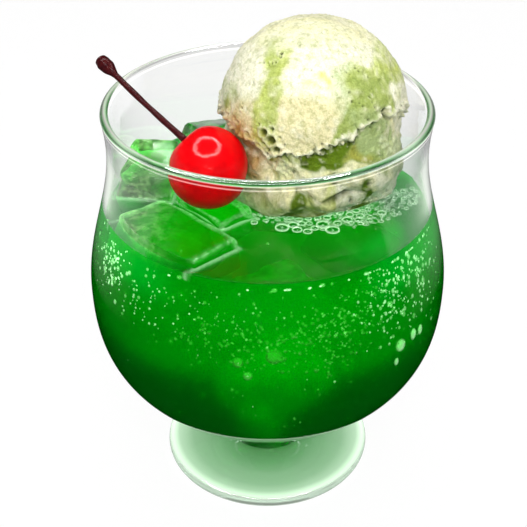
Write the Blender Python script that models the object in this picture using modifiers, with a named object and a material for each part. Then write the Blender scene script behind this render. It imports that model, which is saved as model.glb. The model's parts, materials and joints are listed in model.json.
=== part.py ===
"""Ice cream float: a footed goblet of green soda with ice, a scoop of ice cream and a cherry.

Metres, +Z up. The origin is on the goblet's axis, on the surface that its foot stands on.
+X is to the right of the drinker's view and -Y is the side that the drinker sees.
"""

import math
import random

import bmesh
import bpy
from mathutils import Euler, Matrix, Vector, geometry

# Goblet, outer sizes
GLASS_HEIGHT = 0.11135
RIM_RADIUS = 0.0415
NECK_RADIUS = 0.0407
NECK_HEIGHT = 0.1015
BELLY_RADIUS = 0.0478
BELLY_HEIGHT = 0.0610
BOWL_UNDERSIDE = 0.0222
BOWL_ROUNDNESS = 2.55
STEM_RADIUS = 0.0105
STEM_WAIST_HEIGHT = 0.0145
FOOT_RADIUS = 0.0298
FOOT_EDGE = 0.0034
FOOT_RING_INNER_RADIUS = 0.0220
FOOT_HOLLOW = 0.0010

# Curves of the stem: how far the bowl and the waist pull the upper one, and the handles of the lower one
STEM_TOP_PULL = 0.0045
STEM_WAIST_PULL = 0.0050
FOOT_SWEEP = ((STEM_RADIUS, 0.0075), (0.0165, 0.0051))

# Goblet, glass thickness
WALL = 0.0019
LIP = 0.0022
BOWL_FLOOR = 0.0043

# Drink
DRINK_LEVEL = 0.0846

# Clearance of the ice and the drink, of the scoop from what it touches, and of the stalk from its dimple
GAP = 0.0003
SCOOP_GAP = 0.00045
STALK_GAP = 0.00048

# Ice cream
SCOOP_CENTRE = Vector((0.0118, 0.0076, 0.1058))
SCOOP_RADIUS = 0.0240
SCOOP_DEPTH = 0.0275
SKIRT_SQUARENESS = 3.6
SCOOP_WALL_GAP = 0.0006
RIDGE_LINE = (
    (-180, 4), (-150, 3), (-134, 0), (-120, -5), (-100, -4), (-80, 3), (-68, 9),
    (-55, 13), (-45, 17), (-20, 8), (20, -4), (80, -8), (130, -3), (180, 4),
)
LEDGE_DEPTH = 0.0014
LEDGE_LIP = 0.0004
LEDGE_BAND = (3.0, 14.0, 34.0)
SKIRT_BAND = (-8.0, -28.0, -46.0, -62.0)

# Random fields over the scoop: frequency, height and seed
RAG = (17.0, 0.0009, 21)
CRUMPLE = ((9.0, 0.00010, 22), (22.0, 0.00012, 23))
FIELD_WAVES = 24

# Forms on the scoop: azimuth and half width in degrees, then height or depth
LEDGE_BY_CHERRY = (-128, 32, 0.0014)
SKIRT_LUMPS = (
    (-101, 8, 0.0009), (-84, 9, 0.0013), (-64, 8, 0.0012), (-42, 12, 0.0009),
    (30, 16, 0.0010), (70, 10, 0.0012), (105, 12, 0.0010), (150, 14, 0.0024),
)
HOLLOW_BY_CHERRY = (-140, 26, 0.0030)
TUCK_IN_FRONT = (-76, 52, 0.0042)

# Elevations between which the hollow fades out and the tuck comes in
HOLLOW_FADE = (-34.0, -48.0)
TUCK_RISE = (-20.0, -46.0)

# Cracks: azimuth, half width, elevation and half height in degrees, then depth
CRACKS = ((-84, 14, -30, 3.5, 0.0018), (-48, 4, 18, 7, 0.0013), (96, 16, -18, 4, 0.0015))

# Cherry and its stem
CHERRY_CENTRE = Vector((-0.0145, -0.0095, 0.0988))
CHERRY_RADIUS = 0.00965
CHERRY_DIMPLE = 0.0017
DIMPLE_HALF_WIDTH = 20.0
STALK_END = Vector((-0.0432, 0.0163, 0.1157))
STALK_AIM = Vector((-0.0060, 0.0030, 0.0055))
STALK_RADIUS = 0.00078
STALK_KNOB_RADIUS = 0.0019
STALK_KNOB = (0.80, 0.92)
STALK_BOW = 0.0005
STALK_ROOT_FLARE = (0.0002, 0.05)
STALK_CUT = (0.0003, 0.96)

# Smoothness: segments round the goblet, and steps along each stretch of its section
GOBLET_SEGMENTS = 48
BOWL_STEPS = 8
NECK_STEPS = 5
ROOM_STEPS = 4
RIM_STEPS = 2
ARC_STEPS = 5
STEM_STEPS = 5
FOOT_STEPS = 6
UNDERSIDE_STEPS = 3

# Smoothness of the rest
SCOOP_SEGMENTS = (64, 32)
CHERRY_SEGMENTS = (28, 18)
STALK_POINTS = 18

# Ice that breaks the surface: size, centre, turn in degrees, seed of its melted corners,
# and how far it stays from the glass
ICE = {
    "ice_left": ((0.0160, 0.0200, 0.0200), (-0.0315, 0.0108, 0.0802), (22, 0, -4), 3, 0.0004),
    "ice_front": ((0.0300, 0.0210, 0.0150), (-0.0243, -0.0218, 0.0801), (3, 0, -47), 5, 0.0022),
    "ice_centre": ((0.0200, 0.0100, 0.0150), (-0.0129, -0.0049, 0.0820), (14, 8, -48.7), 8, 0.0022),
    "ice_back": ((0.0160, 0.0150, 0.0180), (-0.0155, 0.0302, 0.0814), (-9, 8, 28), 11, 0.0004),
}
ICE_MELT = 0.0007
ICE_ROUNDING = 0.0018


def clear_scene():
    """Remove every object of the open scene."""
    for thing in list(bpy.data.objects):
        bpy.data.objects.remove(thing, do_unlink=True)


def new_collection(name):
    """Make a collection under the scene's own."""
    group = bpy.data.collections.new(name)
    bpy.context.scene.collection.children.link(group)
    return group


def new_material(name, colour, roughness, transmission=0.0, ior=1.45):
    """Make a plain material of one colour."""
    made = bpy.data.materials.new(name)
    made.use_nodes = True
    shader = made.node_tree.nodes["Principled BSDF"]
    shader.inputs["Base Color"].default_value = (*colour, 1.0)
    shader.inputs["Roughness"].default_value = roughness
    shader.inputs["Metallic"].default_value = 0.0
    shader.inputs["Transmission Weight"].default_value = transmission
    shader.inputs["IOR"].default_value = ior
    return made


def add_object(name, data, group, finish=None):
    """Put mesh or curve data in the scene as a named object."""
    thing = bpy.data.objects.new(name, data)
    group.objects.link(thing)
    if finish:
        data.materials.append(finish)
    return thing


def add_mesh_from(bm, name, group, finish=None):
    """Turn a bmesh into a smooth-shaded mesh object."""
    mesh = bpy.data.meshes.new(name)
    bm.to_mesh(mesh)
    bm.free()
    mesh.shade_smooth()
    return add_object(name, mesh, group, finish)


def mark_as_cutter(thing):
    """Show a cutter as wire and keep it out of the picture."""
    thing.hide_render = True
    thing.display_type = "WIRE"


def turn_profile(name, profile, group, finish=None):
    """Turn a profile of (radius, height) points round the Z axis with a Screw modifier."""
    mesh = bpy.data.meshes.new(name)
    edges = [(index, index + 1) for index in range(len(profile) - 1)]
    mesh.from_pydata([(radius, 0.0, height) for radius, height in profile], edges, [])
    thing = add_object(name, mesh, group, finish)
    screw = thing.modifiers.new("turn", "SCREW")
    screw.axis = "Z"
    screw.angle = math.tau
    screw.steps = GOBLET_SEGMENTS
    screw.render_steps = GOBLET_SEGMENTS
    screw.use_merge_vertices = True
    screw.merge_threshold = 0.00001
    screw.use_smooth_shade = True
    return thing


def add_boolean(thing, other, operation):
    """Cut a solid with another one, or keep what the two share."""
    cut = thing.modifiers.new(operation.lower() + " " + other.name, "BOOLEAN")
    cut.operation = operation
    cut.solver = "EXACT"
    cut.object = other


def smoothstep(low, high, value):
    """Rise smoothly from 0 at low to 1 at high."""
    share = min(max((value - low) / (high - low), 0.0), 1.0)
    return share * share * (3.0 - 2.0 * share)


def bump(value, centre, half_width):
    """A bell of height 1 round a centre, on angles in degrees."""
    away = (value - centre + 180.0) % 360.0 - 180.0
    return math.exp(-((away / half_width) ** 2))


def lower_bowl(inset, floor, count):
    """Points of the lower bowl from the axis up to the belly: a quarter of a superellipse."""
    width = BELLY_RADIUS - inset
    depth = BELLY_HEIGHT - BOWL_UNDERSIDE - floor
    power = 2.0 / BOWL_ROUNDNESS
    points = []
    for step in range(count + 1):
        angle = 0.5 * math.pi * (1.0 - step / count)
        radius = width * max(math.cos(angle), 0.0) ** power
        points.append((radius, BELLY_HEIGHT - depth * math.sin(angle) ** power))
    points[0] = (0.0, points[0][1])
    return points


def upper_wall_radius(height, inset):
    """Radius of the wall above the belly: half a cosine wave to the neck, then a flare to the rim."""
    if height < NECK_HEIGHT:
        wave = math.cos(math.pi * (height - BELLY_HEIGHT) / (NECK_HEIGHT - BELLY_HEIGHT))
        return NECK_RADIUS + (BELLY_RADIUS - NECK_RADIUS) * 0.5 * (1.0 + wave) - inset
    share = (height - NECK_HEIGHT) / (GLASS_HEIGHT - 0.5 * LIP - NECK_HEIGHT)
    thickening = (LIP - WALL) * share if inset else 0.0
    return NECK_RADIUS + (RIM_RADIUS - NECK_RADIUS) * share * share - inset - thickening


def upper_wall(bottom, top, inset, count):
    """Points of the wall between two heights, without the first one."""
    heights = [bottom + (top - bottom) * step / count for step in range(1, count + 1)]
    return [(upper_wall_radius(height, inset), height) for height in heights]


def inner_radius(height, clearance):
    """Radius of the goblet's room at a height, less a clearance."""
    if height >= BELLY_HEIGHT:
        return upper_wall_radius(height, WALL) - clearance
    depth = BELLY_HEIGHT - BOWL_UNDERSIDE - BOWL_FLOOR
    share = min((BELLY_HEIGHT - height) / depth, 1.0)
    rise = (1.0 - share ** BOWL_ROUNDNESS) ** (1.0 / BOWL_ROUNDNESS)
    return max((BELLY_RADIUS - WALL) * rise - clearance, 0.0)


def arc(centre, radius, start, end, count):
    """Points of an arc between two angles in degrees, without the first one."""
    angles = [math.radians(start + (end - start) * step / count) for step in range(1, count + 1)]
    return [(centre[0] + radius * math.cos(a), centre[1] + radius * math.sin(a)) for a in angles]


def bezier(start, handle_1, handle_2, end, count):
    """Points of one cubic curve, without the first one."""
    corners = [Vector((*point, 0.0)) for point in (start, handle_1, handle_2, end)]
    curve = geometry.interpolate_bezier(*corners, count + 1)
    return [(point.x, point.y) for point in curve[1:]]


def goblet_profile():
    """Section of the goblet: up its inside from the axis, over the lip, down to the foot."""
    lip_height = GLASS_HEIGHT - 0.5 * LIP
    lip_centre = (RIM_RADIUS - 0.5 * LIP, lip_height)
    profile = lower_bowl(WALL, BOWL_FLOOR, BOWL_STEPS)
    profile += upper_wall(BELLY_HEIGHT, NECK_HEIGHT, WALL, NECK_STEPS)
    profile += upper_wall(NECK_HEIGHT, lip_height, WALL, RIM_STEPS)
    profile += arc(lip_centre, 0.5 * LIP, 180, 0, ARC_STEPS)
    profile += upper_wall(NECK_HEIGHT, lip_height, 0.0, RIM_STEPS)[-2::-1]
    profile += upper_wall(BELLY_HEIGHT, NECK_HEIGHT, 0.0, NECK_STEPS)[::-1]
    underside = lower_bowl(0.0, 0.0, BOWL_STEPS)[:1:-1]
    profile += underside
    last, before = Vector(underside[-1]), Vector(underside[-2])
    handle = last + (last - before).normalized() * STEM_TOP_PULL
    waist = (STEM_RADIUS, STEM_WAIST_HEIGHT)
    profile += bezier(last, handle, (STEM_RADIUS, waist[1] + STEM_WAIST_PULL), waist, STEM_STEPS)
    foot_centre = (FOOT_RADIUS - 0.5 * FOOT_EDGE, 0.5 * FOOT_EDGE)
    profile += bezier(waist, *FOOT_SWEEP, (foot_centre[0], FOOT_EDGE), FOOT_STEPS)
    profile += arc(foot_centre, 0.5 * FOOT_EDGE, 90, -90, ARC_STEPS)
    for step in range(UNDERSIDE_STEPS + 1):
        share = 1.0 - step / UNDERSIDE_STEPS
        profile.append((FOOT_RING_INNER_RADIUS * share, FOOT_HOLLOW * (1.0 - share * share)))
    return profile


def room_profile(clearance, top):
    """Section of the goblet's room up to a height, drawn in from the glass by a clearance."""
    wall = lower_bowl(WALL + clearance, BOWL_FLOOR + clearance, BOWL_STEPS)
    wall += upper_wall(BELLY_HEIGHT, top, WALL + clearance, ROOM_STEPS)
    return [(0.0, top)] + wall[::-1]


def random_field(frequency, height, seed):
    """Draw the plane waves whose sum is a smooth random field, with a typical height."""
    draw = random.Random(seed)
    waves = []
    for _ in range(FIELD_WAVES):
        aim = [draw.gauss(0.0, 1.0) for _ in range(3)]
        scale = frequency / math.sqrt(sum(part * part for part in aim))
        waves.append((Vector(aim) * scale, draw.uniform(0.0, math.tau)))
    return height * math.sqrt(2.0 / FIELD_WAVES), waves


def field_value(field, point):
    """Height of a random field at a point."""
    height, waves = field
    return height * sum(math.cos(aim.dot(point) + phase) for aim, phase in waves)


RAG_FIELD = random_field(*RAG)
CRUMPLE_FIELDS = [random_field(*layer) for layer in CRUMPLE]


def ridge_elevation(azimuth):
    """Place of the broken edge round the scoop, in degrees above its middle."""
    for (start, low), (end, high) in zip(RIDGE_LINE, RIDGE_LINE[1:]):
        if start <= azimuth <= end:
            return low + (high - low) * (azimuth - start) / (end - start)
    return RIDGE_LINE[0][1]


def scoop_reach(direction):
    """Distance from the scoop's centre to its surface: a dome, and a ragged skirt tucked in below."""
    azimuth = math.degrees(math.atan2(direction.y, direction.x))
    elevation = math.degrees(math.asin(max(min(direction.z, 1.0), -1.0)))
    flat, rise = math.hypot(direction.x, direction.y), abs(direction.z)
    square = 2.0 + (SKIRT_SQUARENESS - 2.0) * smoothstep(0.0, 25.0, -elevation)
    depth = SCOOP_RADIUS if elevation > 0.0 else SCOOP_DEPTH
    reach = ((flat / SCOOP_RADIUS) ** square + (rise / depth) ** square) ** (-1.0 / square)

    below = ridge_elevation(azimuth) - elevation
    edge, fade_start, fade_end = LEDGE_BAND
    ledge = LEDGE_DEPTH + LEDGE_BY_CHERRY[2] * bump(azimuth, *LEDGE_BY_CHERRY[:2])
    reach -= ledge * smoothstep(0.0, edge, below) * (1.0 - smoothstep(fade_start, fade_end, below))
    reach += LEDGE_LIP * bump(below, -edge, edge)

    top, full, low, foot = SKIRT_BAND
    skirt = smoothstep(top, full, elevation) * (1.0 - smoothstep(low, foot, elevation))
    for place, half_width, height in SKIRT_LUMPS:
        reach += height * skirt * bump(azimuth, place, half_width)
    place, half_width, depth = HOLLOW_BY_CHERRY
    hollow = smoothstep(0.0, full, elevation) * (1.0 - smoothstep(*HOLLOW_FADE, elevation))
    reach -= depth * hollow * bump(azimuth, place, half_width)
    place, half_width, depth = TUCK_IN_FRONT
    reach -= depth * smoothstep(*TUCK_RISE, elevation) * bump(azimuth, place, half_width)
    for place, half_width, level, half_height, depth in CRACKS:
        reach -= depth * bump(azimuth, place, half_width) * bump(elevation, level, half_height)

    reach += skirt * field_value(RAG_FIELD, direction)
    return reach + sum(field_value(field, direction) for field in CRUMPLE_FIELDS)


def scoop_point(direction, growth):
    """Place one point of the scoop, dented by the cherry and pressed flat by the glass."""
    reach = scoop_reach(direction)
    to_cherry = CHERRY_CENTRE - SCOOP_CENTRE
    along = to_cherry.dot(direction)
    room = CHERRY_RADIUS + SCOOP_GAP
    inside = along * along - to_cherry.length_squared + room * room
    if inside > 0.0 and along > 0.0:
        reach = min(reach, along - math.sqrt(inside))
    point = SCOOP_CENTRE + direction * reach
    limit = inner_radius(min(point.z, GLASS_HEIGHT - LIP), SCOOP_WALL_GAP)
    away = math.hypot(point.x, point.y)
    if point.z < GLASS_HEIGHT and away > limit:
        point.x *= limit / away
        point.y *= limit / away
    return point + direction * growth


def add_scoop(name, group, finish=None, growth=0.0):
    """Make the scoop from a sphere, each point moved out to the scoop's surface."""
    bm = bmesh.new()
    across, down = SCOOP_SEGMENTS
    bmesh.ops.create_uvsphere(bm, u_segments=across, v_segments=down, radius=1.0)
    bmesh.ops.triangulate(bm, faces=bm.faces, quad_method="FIXED")
    for corner in bm.verts:
        corner.co = scoop_point(corner.co.normalized(), growth)
    return add_mesh_from(bm, name, group, finish)


def add_ice(name, group, finish=None, growth=0.0):
    """Make one ice cube with uneven, melted corners and rounded edges."""
    size, centre, turn, seed, _ = ICE[name.replace("_cutter", "")]
    draw = random.Random(seed)
    bm = bmesh.new()
    bmesh.ops.create_cube(bm, size=1.0)
    for corner in bm.verts:
        melt = Vector([draw.uniform(-ICE_MELT, ICE_MELT) for _ in range(3)])
        stretched = [corner.co[axis] * (size[axis] + 2.0 * growth) for axis in range(3)]
        corner.co = Vector(stretched) + melt
    turned = Euler([math.radians(angle) for angle in turn]).to_matrix().to_4x4()
    bmesh.ops.transform(bm, matrix=Matrix.Translation(centre) @ turned, verts=bm.verts)
    cube = add_mesh_from(bm, name, group, finish)
    rounding = cube.modifiers.new("rounding", "BEVEL")
    rounding.width = ICE_ROUNDING
    rounding.segments = 2
    return cube


def keep_in_room(cube, clearance, cutters):
    """Trim a cube to the goblet's room, at a distance from the glass."""
    room = turn_profile(cube.name + "_room", room_profile(clearance, NECK_HEIGHT), cutters)
    mark_as_cutter(room)
    add_boolean(cube, room, "INTERSECT")


def add_cherry(group, finish):
    """Make the cherry: a sphere with a dimple where the stalk grows."""
    bm = bmesh.new()
    across, down = CHERRY_SEGMENTS
    bmesh.ops.create_uvsphere(bm, u_segments=across, v_segments=down, radius=1.0)
    for corner in bm.verts:
        tilt = math.degrees(math.acos(max(min(corner.co.z, 1.0), -1.0)))
        dimple = CHERRY_DIMPLE * math.exp(-((tilt / DIMPLE_HALF_WIDTH) ** 2))
        corner.co = corner.co.normalized() * (CHERRY_RADIUS - dimple)
    turn = STALK_AIM.to_track_quat("Z", "X").to_matrix().to_4x4()
    bmesh.ops.transform(bm, matrix=Matrix.Translation(CHERRY_CENTRE) @ turn, verts=bm.verts)
    return add_mesh_from(bm, "cherry", group, finish)


def stalk_thickness(share):
    """Radius of the stalk along its length: slim, with a knob at its free end."""
    flare = STALK_ROOT_FLARE[0] * math.exp(-share / STALK_ROOT_FLARE[1])
    knob = (STALK_KNOB_RADIUS - STALK_RADIUS) * smoothstep(*STALK_KNOB, share)
    cut = STALK_CUT[0] * smoothstep(STALK_CUT[1], 1.0, share)
    return STALK_RADIUS + flare + knob - cut


def add_stalk(group, finish):
    """Make the stalk as a bevelled curve from the dimple to the knob."""
    root = CHERRY_CENTRE + STALK_AIM.normalized() * (CHERRY_RADIUS - CHERRY_DIMPLE + STALK_GAP)
    curve = bpy.data.curves.new("cherry_stem", "CURVE")
    curve.dimensions = "3D"
    curve.bevel_depth = 1.0
    curve.bevel_resolution = 2
    curve.use_fill_caps = True
    spline = curve.splines.new("POLY")
    spline.points.add(STALK_POINTS - 1)
    for index, point in enumerate(spline.points):
        share = index / (STALK_POINTS - 1)
        place = root.lerp(STALK_END, share)
        place.z -= STALK_BOW * math.sin(math.pi * share)
        point.co = (*place, 1.0)
        point.radius = stalk_thickness(share)
    return add_object("cherry_stem", curve, group, finish)


def build():
    """Build every piece of the float."""
    clear_scene()
    parts = new_collection("ice_cream_float")
    cutters = new_collection("cutters")
    clear_glass = new_material("clear_glass", (0.96, 0.98, 0.97), 0.02, 1.0, 1.5)
    soda = new_material("green_soda", (0.0, 0.42, 0.03), 0.05, 0.6, 1.33)
    ice = new_material("ice", (0.72, 0.90, 0.74), 0.08, 0.8, 1.31)
    cream = new_material("marbled_ice_cream", (0.86, 0.88, 0.62), 0.6)
    cherry_skin = new_material("cherry_skin", (0.72, 0.005, 0.005), 0.15)
    stalk_bark = new_material("cherry_stalk", (0.12, 0.008, 0.012), 0.35)

    turn_profile("glass", goblet_profile(), parts, clear_glass)
    drink = turn_profile("drink", room_profile(GAP, DRINK_LEVEL), parts, soda)
    add_scoop("ice_cream", parts, cream)
    scoop_cutter = add_scoop("ice_cream_cutter", cutters, growth=SCOOP_GAP)
    mark_as_cutter(scoop_cutter)
    add_boolean(drink, scoop_cutter, "DIFFERENCE")

    for name in ICE:
        keep_in_room(add_ice(name, parts, ice), ICE[name][4], cutters)
        cube_cutter = add_ice(name + "_cutter", cutters, growth=GAP)
        keep_in_room(cube_cutter, ICE[name][4] - GAP, cutters)
        mark_as_cutter(cube_cutter)
        add_boolean(drink, cube_cutter, "DIFFERENCE")

    add_cherry(parts, cherry_skin)
    add_stalk(parts, stalk_bark)


build()
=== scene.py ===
"""Looks of the ice cream float: fine forms, finishes, bubbles, light and camera.

Metres, +Z up. The origin is on the goblet's axis, on the surface that its foot stands on. The drinker
looks along +Y, and angles round the axis are in degrees from +X, so that the drinker's side is -90.
"""

from __future__ import annotations

import json
import logging
import math
import random
from dataclasses import dataclass
from enum import Enum
from functools import cache

import bmesh
import bpy
import numpy as np
from mathutils import Euler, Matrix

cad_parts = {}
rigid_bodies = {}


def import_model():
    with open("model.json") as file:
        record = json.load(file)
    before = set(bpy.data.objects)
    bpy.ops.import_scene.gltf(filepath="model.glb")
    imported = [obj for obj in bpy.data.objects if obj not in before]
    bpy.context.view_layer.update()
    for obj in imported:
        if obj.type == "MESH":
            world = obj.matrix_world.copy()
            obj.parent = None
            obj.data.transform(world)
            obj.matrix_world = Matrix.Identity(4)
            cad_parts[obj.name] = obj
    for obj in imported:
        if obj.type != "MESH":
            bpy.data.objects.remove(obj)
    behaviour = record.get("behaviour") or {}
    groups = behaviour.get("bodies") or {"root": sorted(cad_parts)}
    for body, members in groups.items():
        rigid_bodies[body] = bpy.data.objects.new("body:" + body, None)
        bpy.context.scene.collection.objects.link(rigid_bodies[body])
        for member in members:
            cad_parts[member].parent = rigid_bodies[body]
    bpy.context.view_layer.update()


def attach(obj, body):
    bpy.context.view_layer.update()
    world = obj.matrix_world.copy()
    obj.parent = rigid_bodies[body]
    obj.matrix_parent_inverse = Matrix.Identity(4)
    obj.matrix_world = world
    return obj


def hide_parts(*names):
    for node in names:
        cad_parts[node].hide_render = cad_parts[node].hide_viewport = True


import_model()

LOG = logging.getLogger("float")
BODY = "root"

# A row is a line of a table, and the class that has it says what its numbers are
Faces = list[list[int]]
Colour = tuple[float, float, float]
Place = tuple[float, float, float]
Span = tuple[float, float]
Row = tuple[float, ...]
Socket = bpy.types.NodeSocket

WHITE: Colour = (1.0, 1.0, 1.0)
BLACK: Colour = (0.0, 0.0, 0.0)

# What faces and points store for the finishes
BENDING = "bending"
# Share of the painted edge shade that each face takes
PAINTED_EDGE_SHADE = "outside"
FROST = "frost"
# Painted light: an emission colour at each point that stands in for highlights, reflections and scattered
# light
PAINTED_LIGHT = "glow"
CLEARNESS_WITH_PAINTED_SHADE = "clearness"

# Refractive indices, and the ratio for a face where light goes straight on
GLASS_INDEX = 1.50
SODA_INDEX = 1.33
ICE_INDEX = 1.31
NO_BENDING = 1.0001

# Where the cherry lies, for the cherry itself and for the hollow that it presses into the scoop
CHERRY_CENTRE: Place = (-0.0145, -0.0095, 0.0988)


# Formulas that several pieces share


def smoothstep(low: float, high: float, value: np.ndarray) -> np.ndarray:
    """Rise smoothly from 0 at low to 1 at high: 3s^2 - 2s^3 of the share s between them.

    Args:
        low: Value where the rise starts.
        high: Value where it ends; it may be below low.
        value: Values to look at.

    Returns:
        The heights, from 0 to 1.
    """
    share = np.clip((value - low) / (high - low), 0.0, 1.0)
    return share * share * (3.0 - 2.0 * share)


def bell(value: np.ndarray, centre: float, half_width: float) -> np.ndarray:
    """Height of a bell round a centre: exp(-(distance / half width)^2), on angles in degrees.

    Args:
        value: Angles to look at.
        centre: Angle of the bell's top.
        half_width: Distance at which the bell has sunk to 1 / e.

    Returns:
        The heights, from 0 to 1.
    """
    away = (value - centre + 180.0) % 360.0 - 180.0
    return np.exp(-((away / half_width) ** 2))


def length(points: np.ndarray) -> np.ndarray:
    """Distance of each point from the origin."""
    return np.sqrt((points * points).sum(-1))


def around(radii: np.ndarray, angles: np.ndarray, heights: np.ndarray) -> np.ndarray:
    """Points (r cos a, r sin a, z) from arrays that broadcast to one shape.

    Args:
        radii: Distances from the axis.
        angles: Angles round the axis in radians.
        heights: Heights.

    Returns:
        Points in the last dimension of a new array.
    """
    return np.stack(np.broadcast_arrays(radii * np.cos(angles), radii * np.sin(angles), heights), -1)


def full_turn(count: int) -> np.ndarray:
    """Angles in radians of so many equal steps round the axis."""
    return np.arange(count) * (math.tau / count)


@dataclass(frozen=True)
class WaveField:
    """A smooth random field, the sum of plane waves with seeded directions and phases.

    Value at p: height * sqrt(2 / n) * sum of cos(frequency * direction . p + phase).
    """

    frequency: float
    height: float
    seed: int
    waves: int = 24

    def at(self, points: np.ndarray) -> np.ndarray:
        """Value of the field.

        Args:
            points: Points in the last dimension.

        Returns:
            One value a point, with the field's height as typical size.
        """
        draw = random.Random(self.seed)
        aims, phases = np.empty((3, self.waves)), np.empty(self.waves)
        for wave in range(self.waves):
            aim = np.array([draw.gauss(0.0, 1.0) for _ in range(3)])
            aims[:, wave] = aim * self.frequency / math.sqrt((aim * aim).sum())
            phases[wave] = draw.uniform(0.0, math.tau)
        return self.height * math.sqrt(2.0 / self.waves) * np.cos(points @ aims + phases).sum(-1)


# Meshes


def closed_lattice(rings: np.ndarray) -> tuple[np.ndarray, Faces]:
    """Close a lattice of rings into a ball, whose first and last ring are one point each.

    Args:
        rings: Points of shape (rings, points round, 3), each ring anticlockwise seen from the first.

    Returns:
        The points, and the faces, which look outward.
    """
    count, columns = rings.shape[:2]
    points = np.concatenate([rings[0, :1], rings[1:-1].reshape(-1, 3), rings[-1, :1]])
    here = np.arange(columns)
    after = (here + 1) % columns
    starts = 1 + columns * np.arange(count - 3)[:, None]
    corners = [starts + here, starts + columns + here, starts + columns + after, starts + after]
    quads = np.stack(corners, -1).reshape(-1, 4)
    last_ring = 1 + columns * (count - 3)
    first = np.stack([np.zeros_like(here), 1 + here, 1 + after], -1)
    last = np.stack([last_ring + here, np.full_like(here, len(points) - 1), last_ring + after], -1)
    return points, [*first.tolist(), *quads.tolist(), *last.tolist()]


def open_band(rings: np.ndarray) -> tuple[np.ndarray, Faces]:
    """Join two rings of equal count by quads.

    Args:
        rings: Points of shape (2, points round, 3). The faces look along the cross product of the step
            to the next point and the step to the second ring.

    Returns:
        The points and the faces.
    """
    count = rings.shape[1]
    here = np.arange(count)
    after = (here + 1) % count
    return rings.reshape(-1, 3), np.stack([here, after, after + count, here + count], -1).tolist()


def repeat_shape(
    shape: np.ndarray, faces: Faces, centres: np.ndarray, sizes: np.ndarray
) -> tuple[np.ndarray, Faces]:
    """Set copies of one small shape at many places.

    Args:
        shape: Points of the shape.
        faces: Its faces.
        centres: Where the copies go, one row each.
        sizes: Scale of each copy, one number or three a row.

    Returns:
        The points and faces of all copies together.
    """
    scale = sizes.reshape(len(centres), 1, -1)
    points = (centres[:, None, :] + scale * shape[None]).reshape(-1, 3)
    shifts = np.arange(len(centres))[:, None, None] * len(shape)
    joined: Faces = []
    for corners in sorted({len(face) for face in faces}):
        some = np.array([face for face in faces if len(face) == corners])
        joined += (some[None] + shifts).reshape(-1, corners).tolist()
    return points, joined


def make_mesh(name: str, points: np.ndarray, faces: Faces) -> bpy.types.Object:
    """Put a mesh with smooth faces in the scene, at the origin.

    Args:
        name: Name of the object and its mesh.
        points: Its points in metres.
        faces: Its faces.

    Returns:
        The new object.
    """
    mesh = bpy.data.meshes.new(name)
    mesh.from_pydata(points.tolist(), [], faces)
    mesh.shade_smooth()
    thing = bpy.data.objects.new(name, mesh)
    bpy.context.scene.collection.objects.link(thing)
    return thing


def points_of(mesh: bpy.types.Mesh) -> np.ndarray:
    """Read the points of a mesh, one row each."""
    places = np.empty(3 * len(mesh.vertices))
    mesh.vertices.foreach_get("co", places)
    return places.reshape(-1, 3)


def paint_points(thing: bpy.types.Object, name: str, colours: np.ndarray) -> None:
    """Store a colour at each point of a mesh.

    Args:
        thing: The object.
        name: Name that its material reads.
        colours: One linear colour a point.
    """
    rgba = np.concatenate([colours, np.ones((len(colours), 1))], 1).astype(np.float32)
    layer = thing.data.color_attributes.new(name, "FLOAT_COLOR", "POINT")
    layer.data.foreach_set("color", rgba.ravel())


def set_faces(thing: bpy.types.Object, name: str, values: np.ndarray) -> None:
    """Store a number at each face, such as the index behind it over the one in front of it.

    Args:
        thing: The object.
        name: Name that its material reads.
        values: One number a face.
    """
    layer = thing.data.attributes.new(name, "FLOAT", "FACE")
    layer.data.foreach_set("value", np.ascontiguousarray(values, np.float32))


def hand_over(
    thing: bpy.types.Object, material: bpy.types.Material, slot: str, *nodes: str
) -> bpy.types.Object:
    """Dress a finished piece and let it stand for the model's own nodes.

    Args:
        thing: The piece.
        material: Its finish.
        slot: The record's material slot that the finish comes from; not used.
        nodes: Nodes that the piece stands for.

    Returns:
        The piece.
    """
    thing.data.materials.clear()
    thing.data.materials.append(material)
    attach(thing, BODY)
    if nodes:
        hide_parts(*nodes)
    thing.data.calc_loop_triangles()
    LOG.info("%s: %d triangles", thing.name, len(thing.data.loop_triangles))
    return thing


# Finishes


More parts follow.
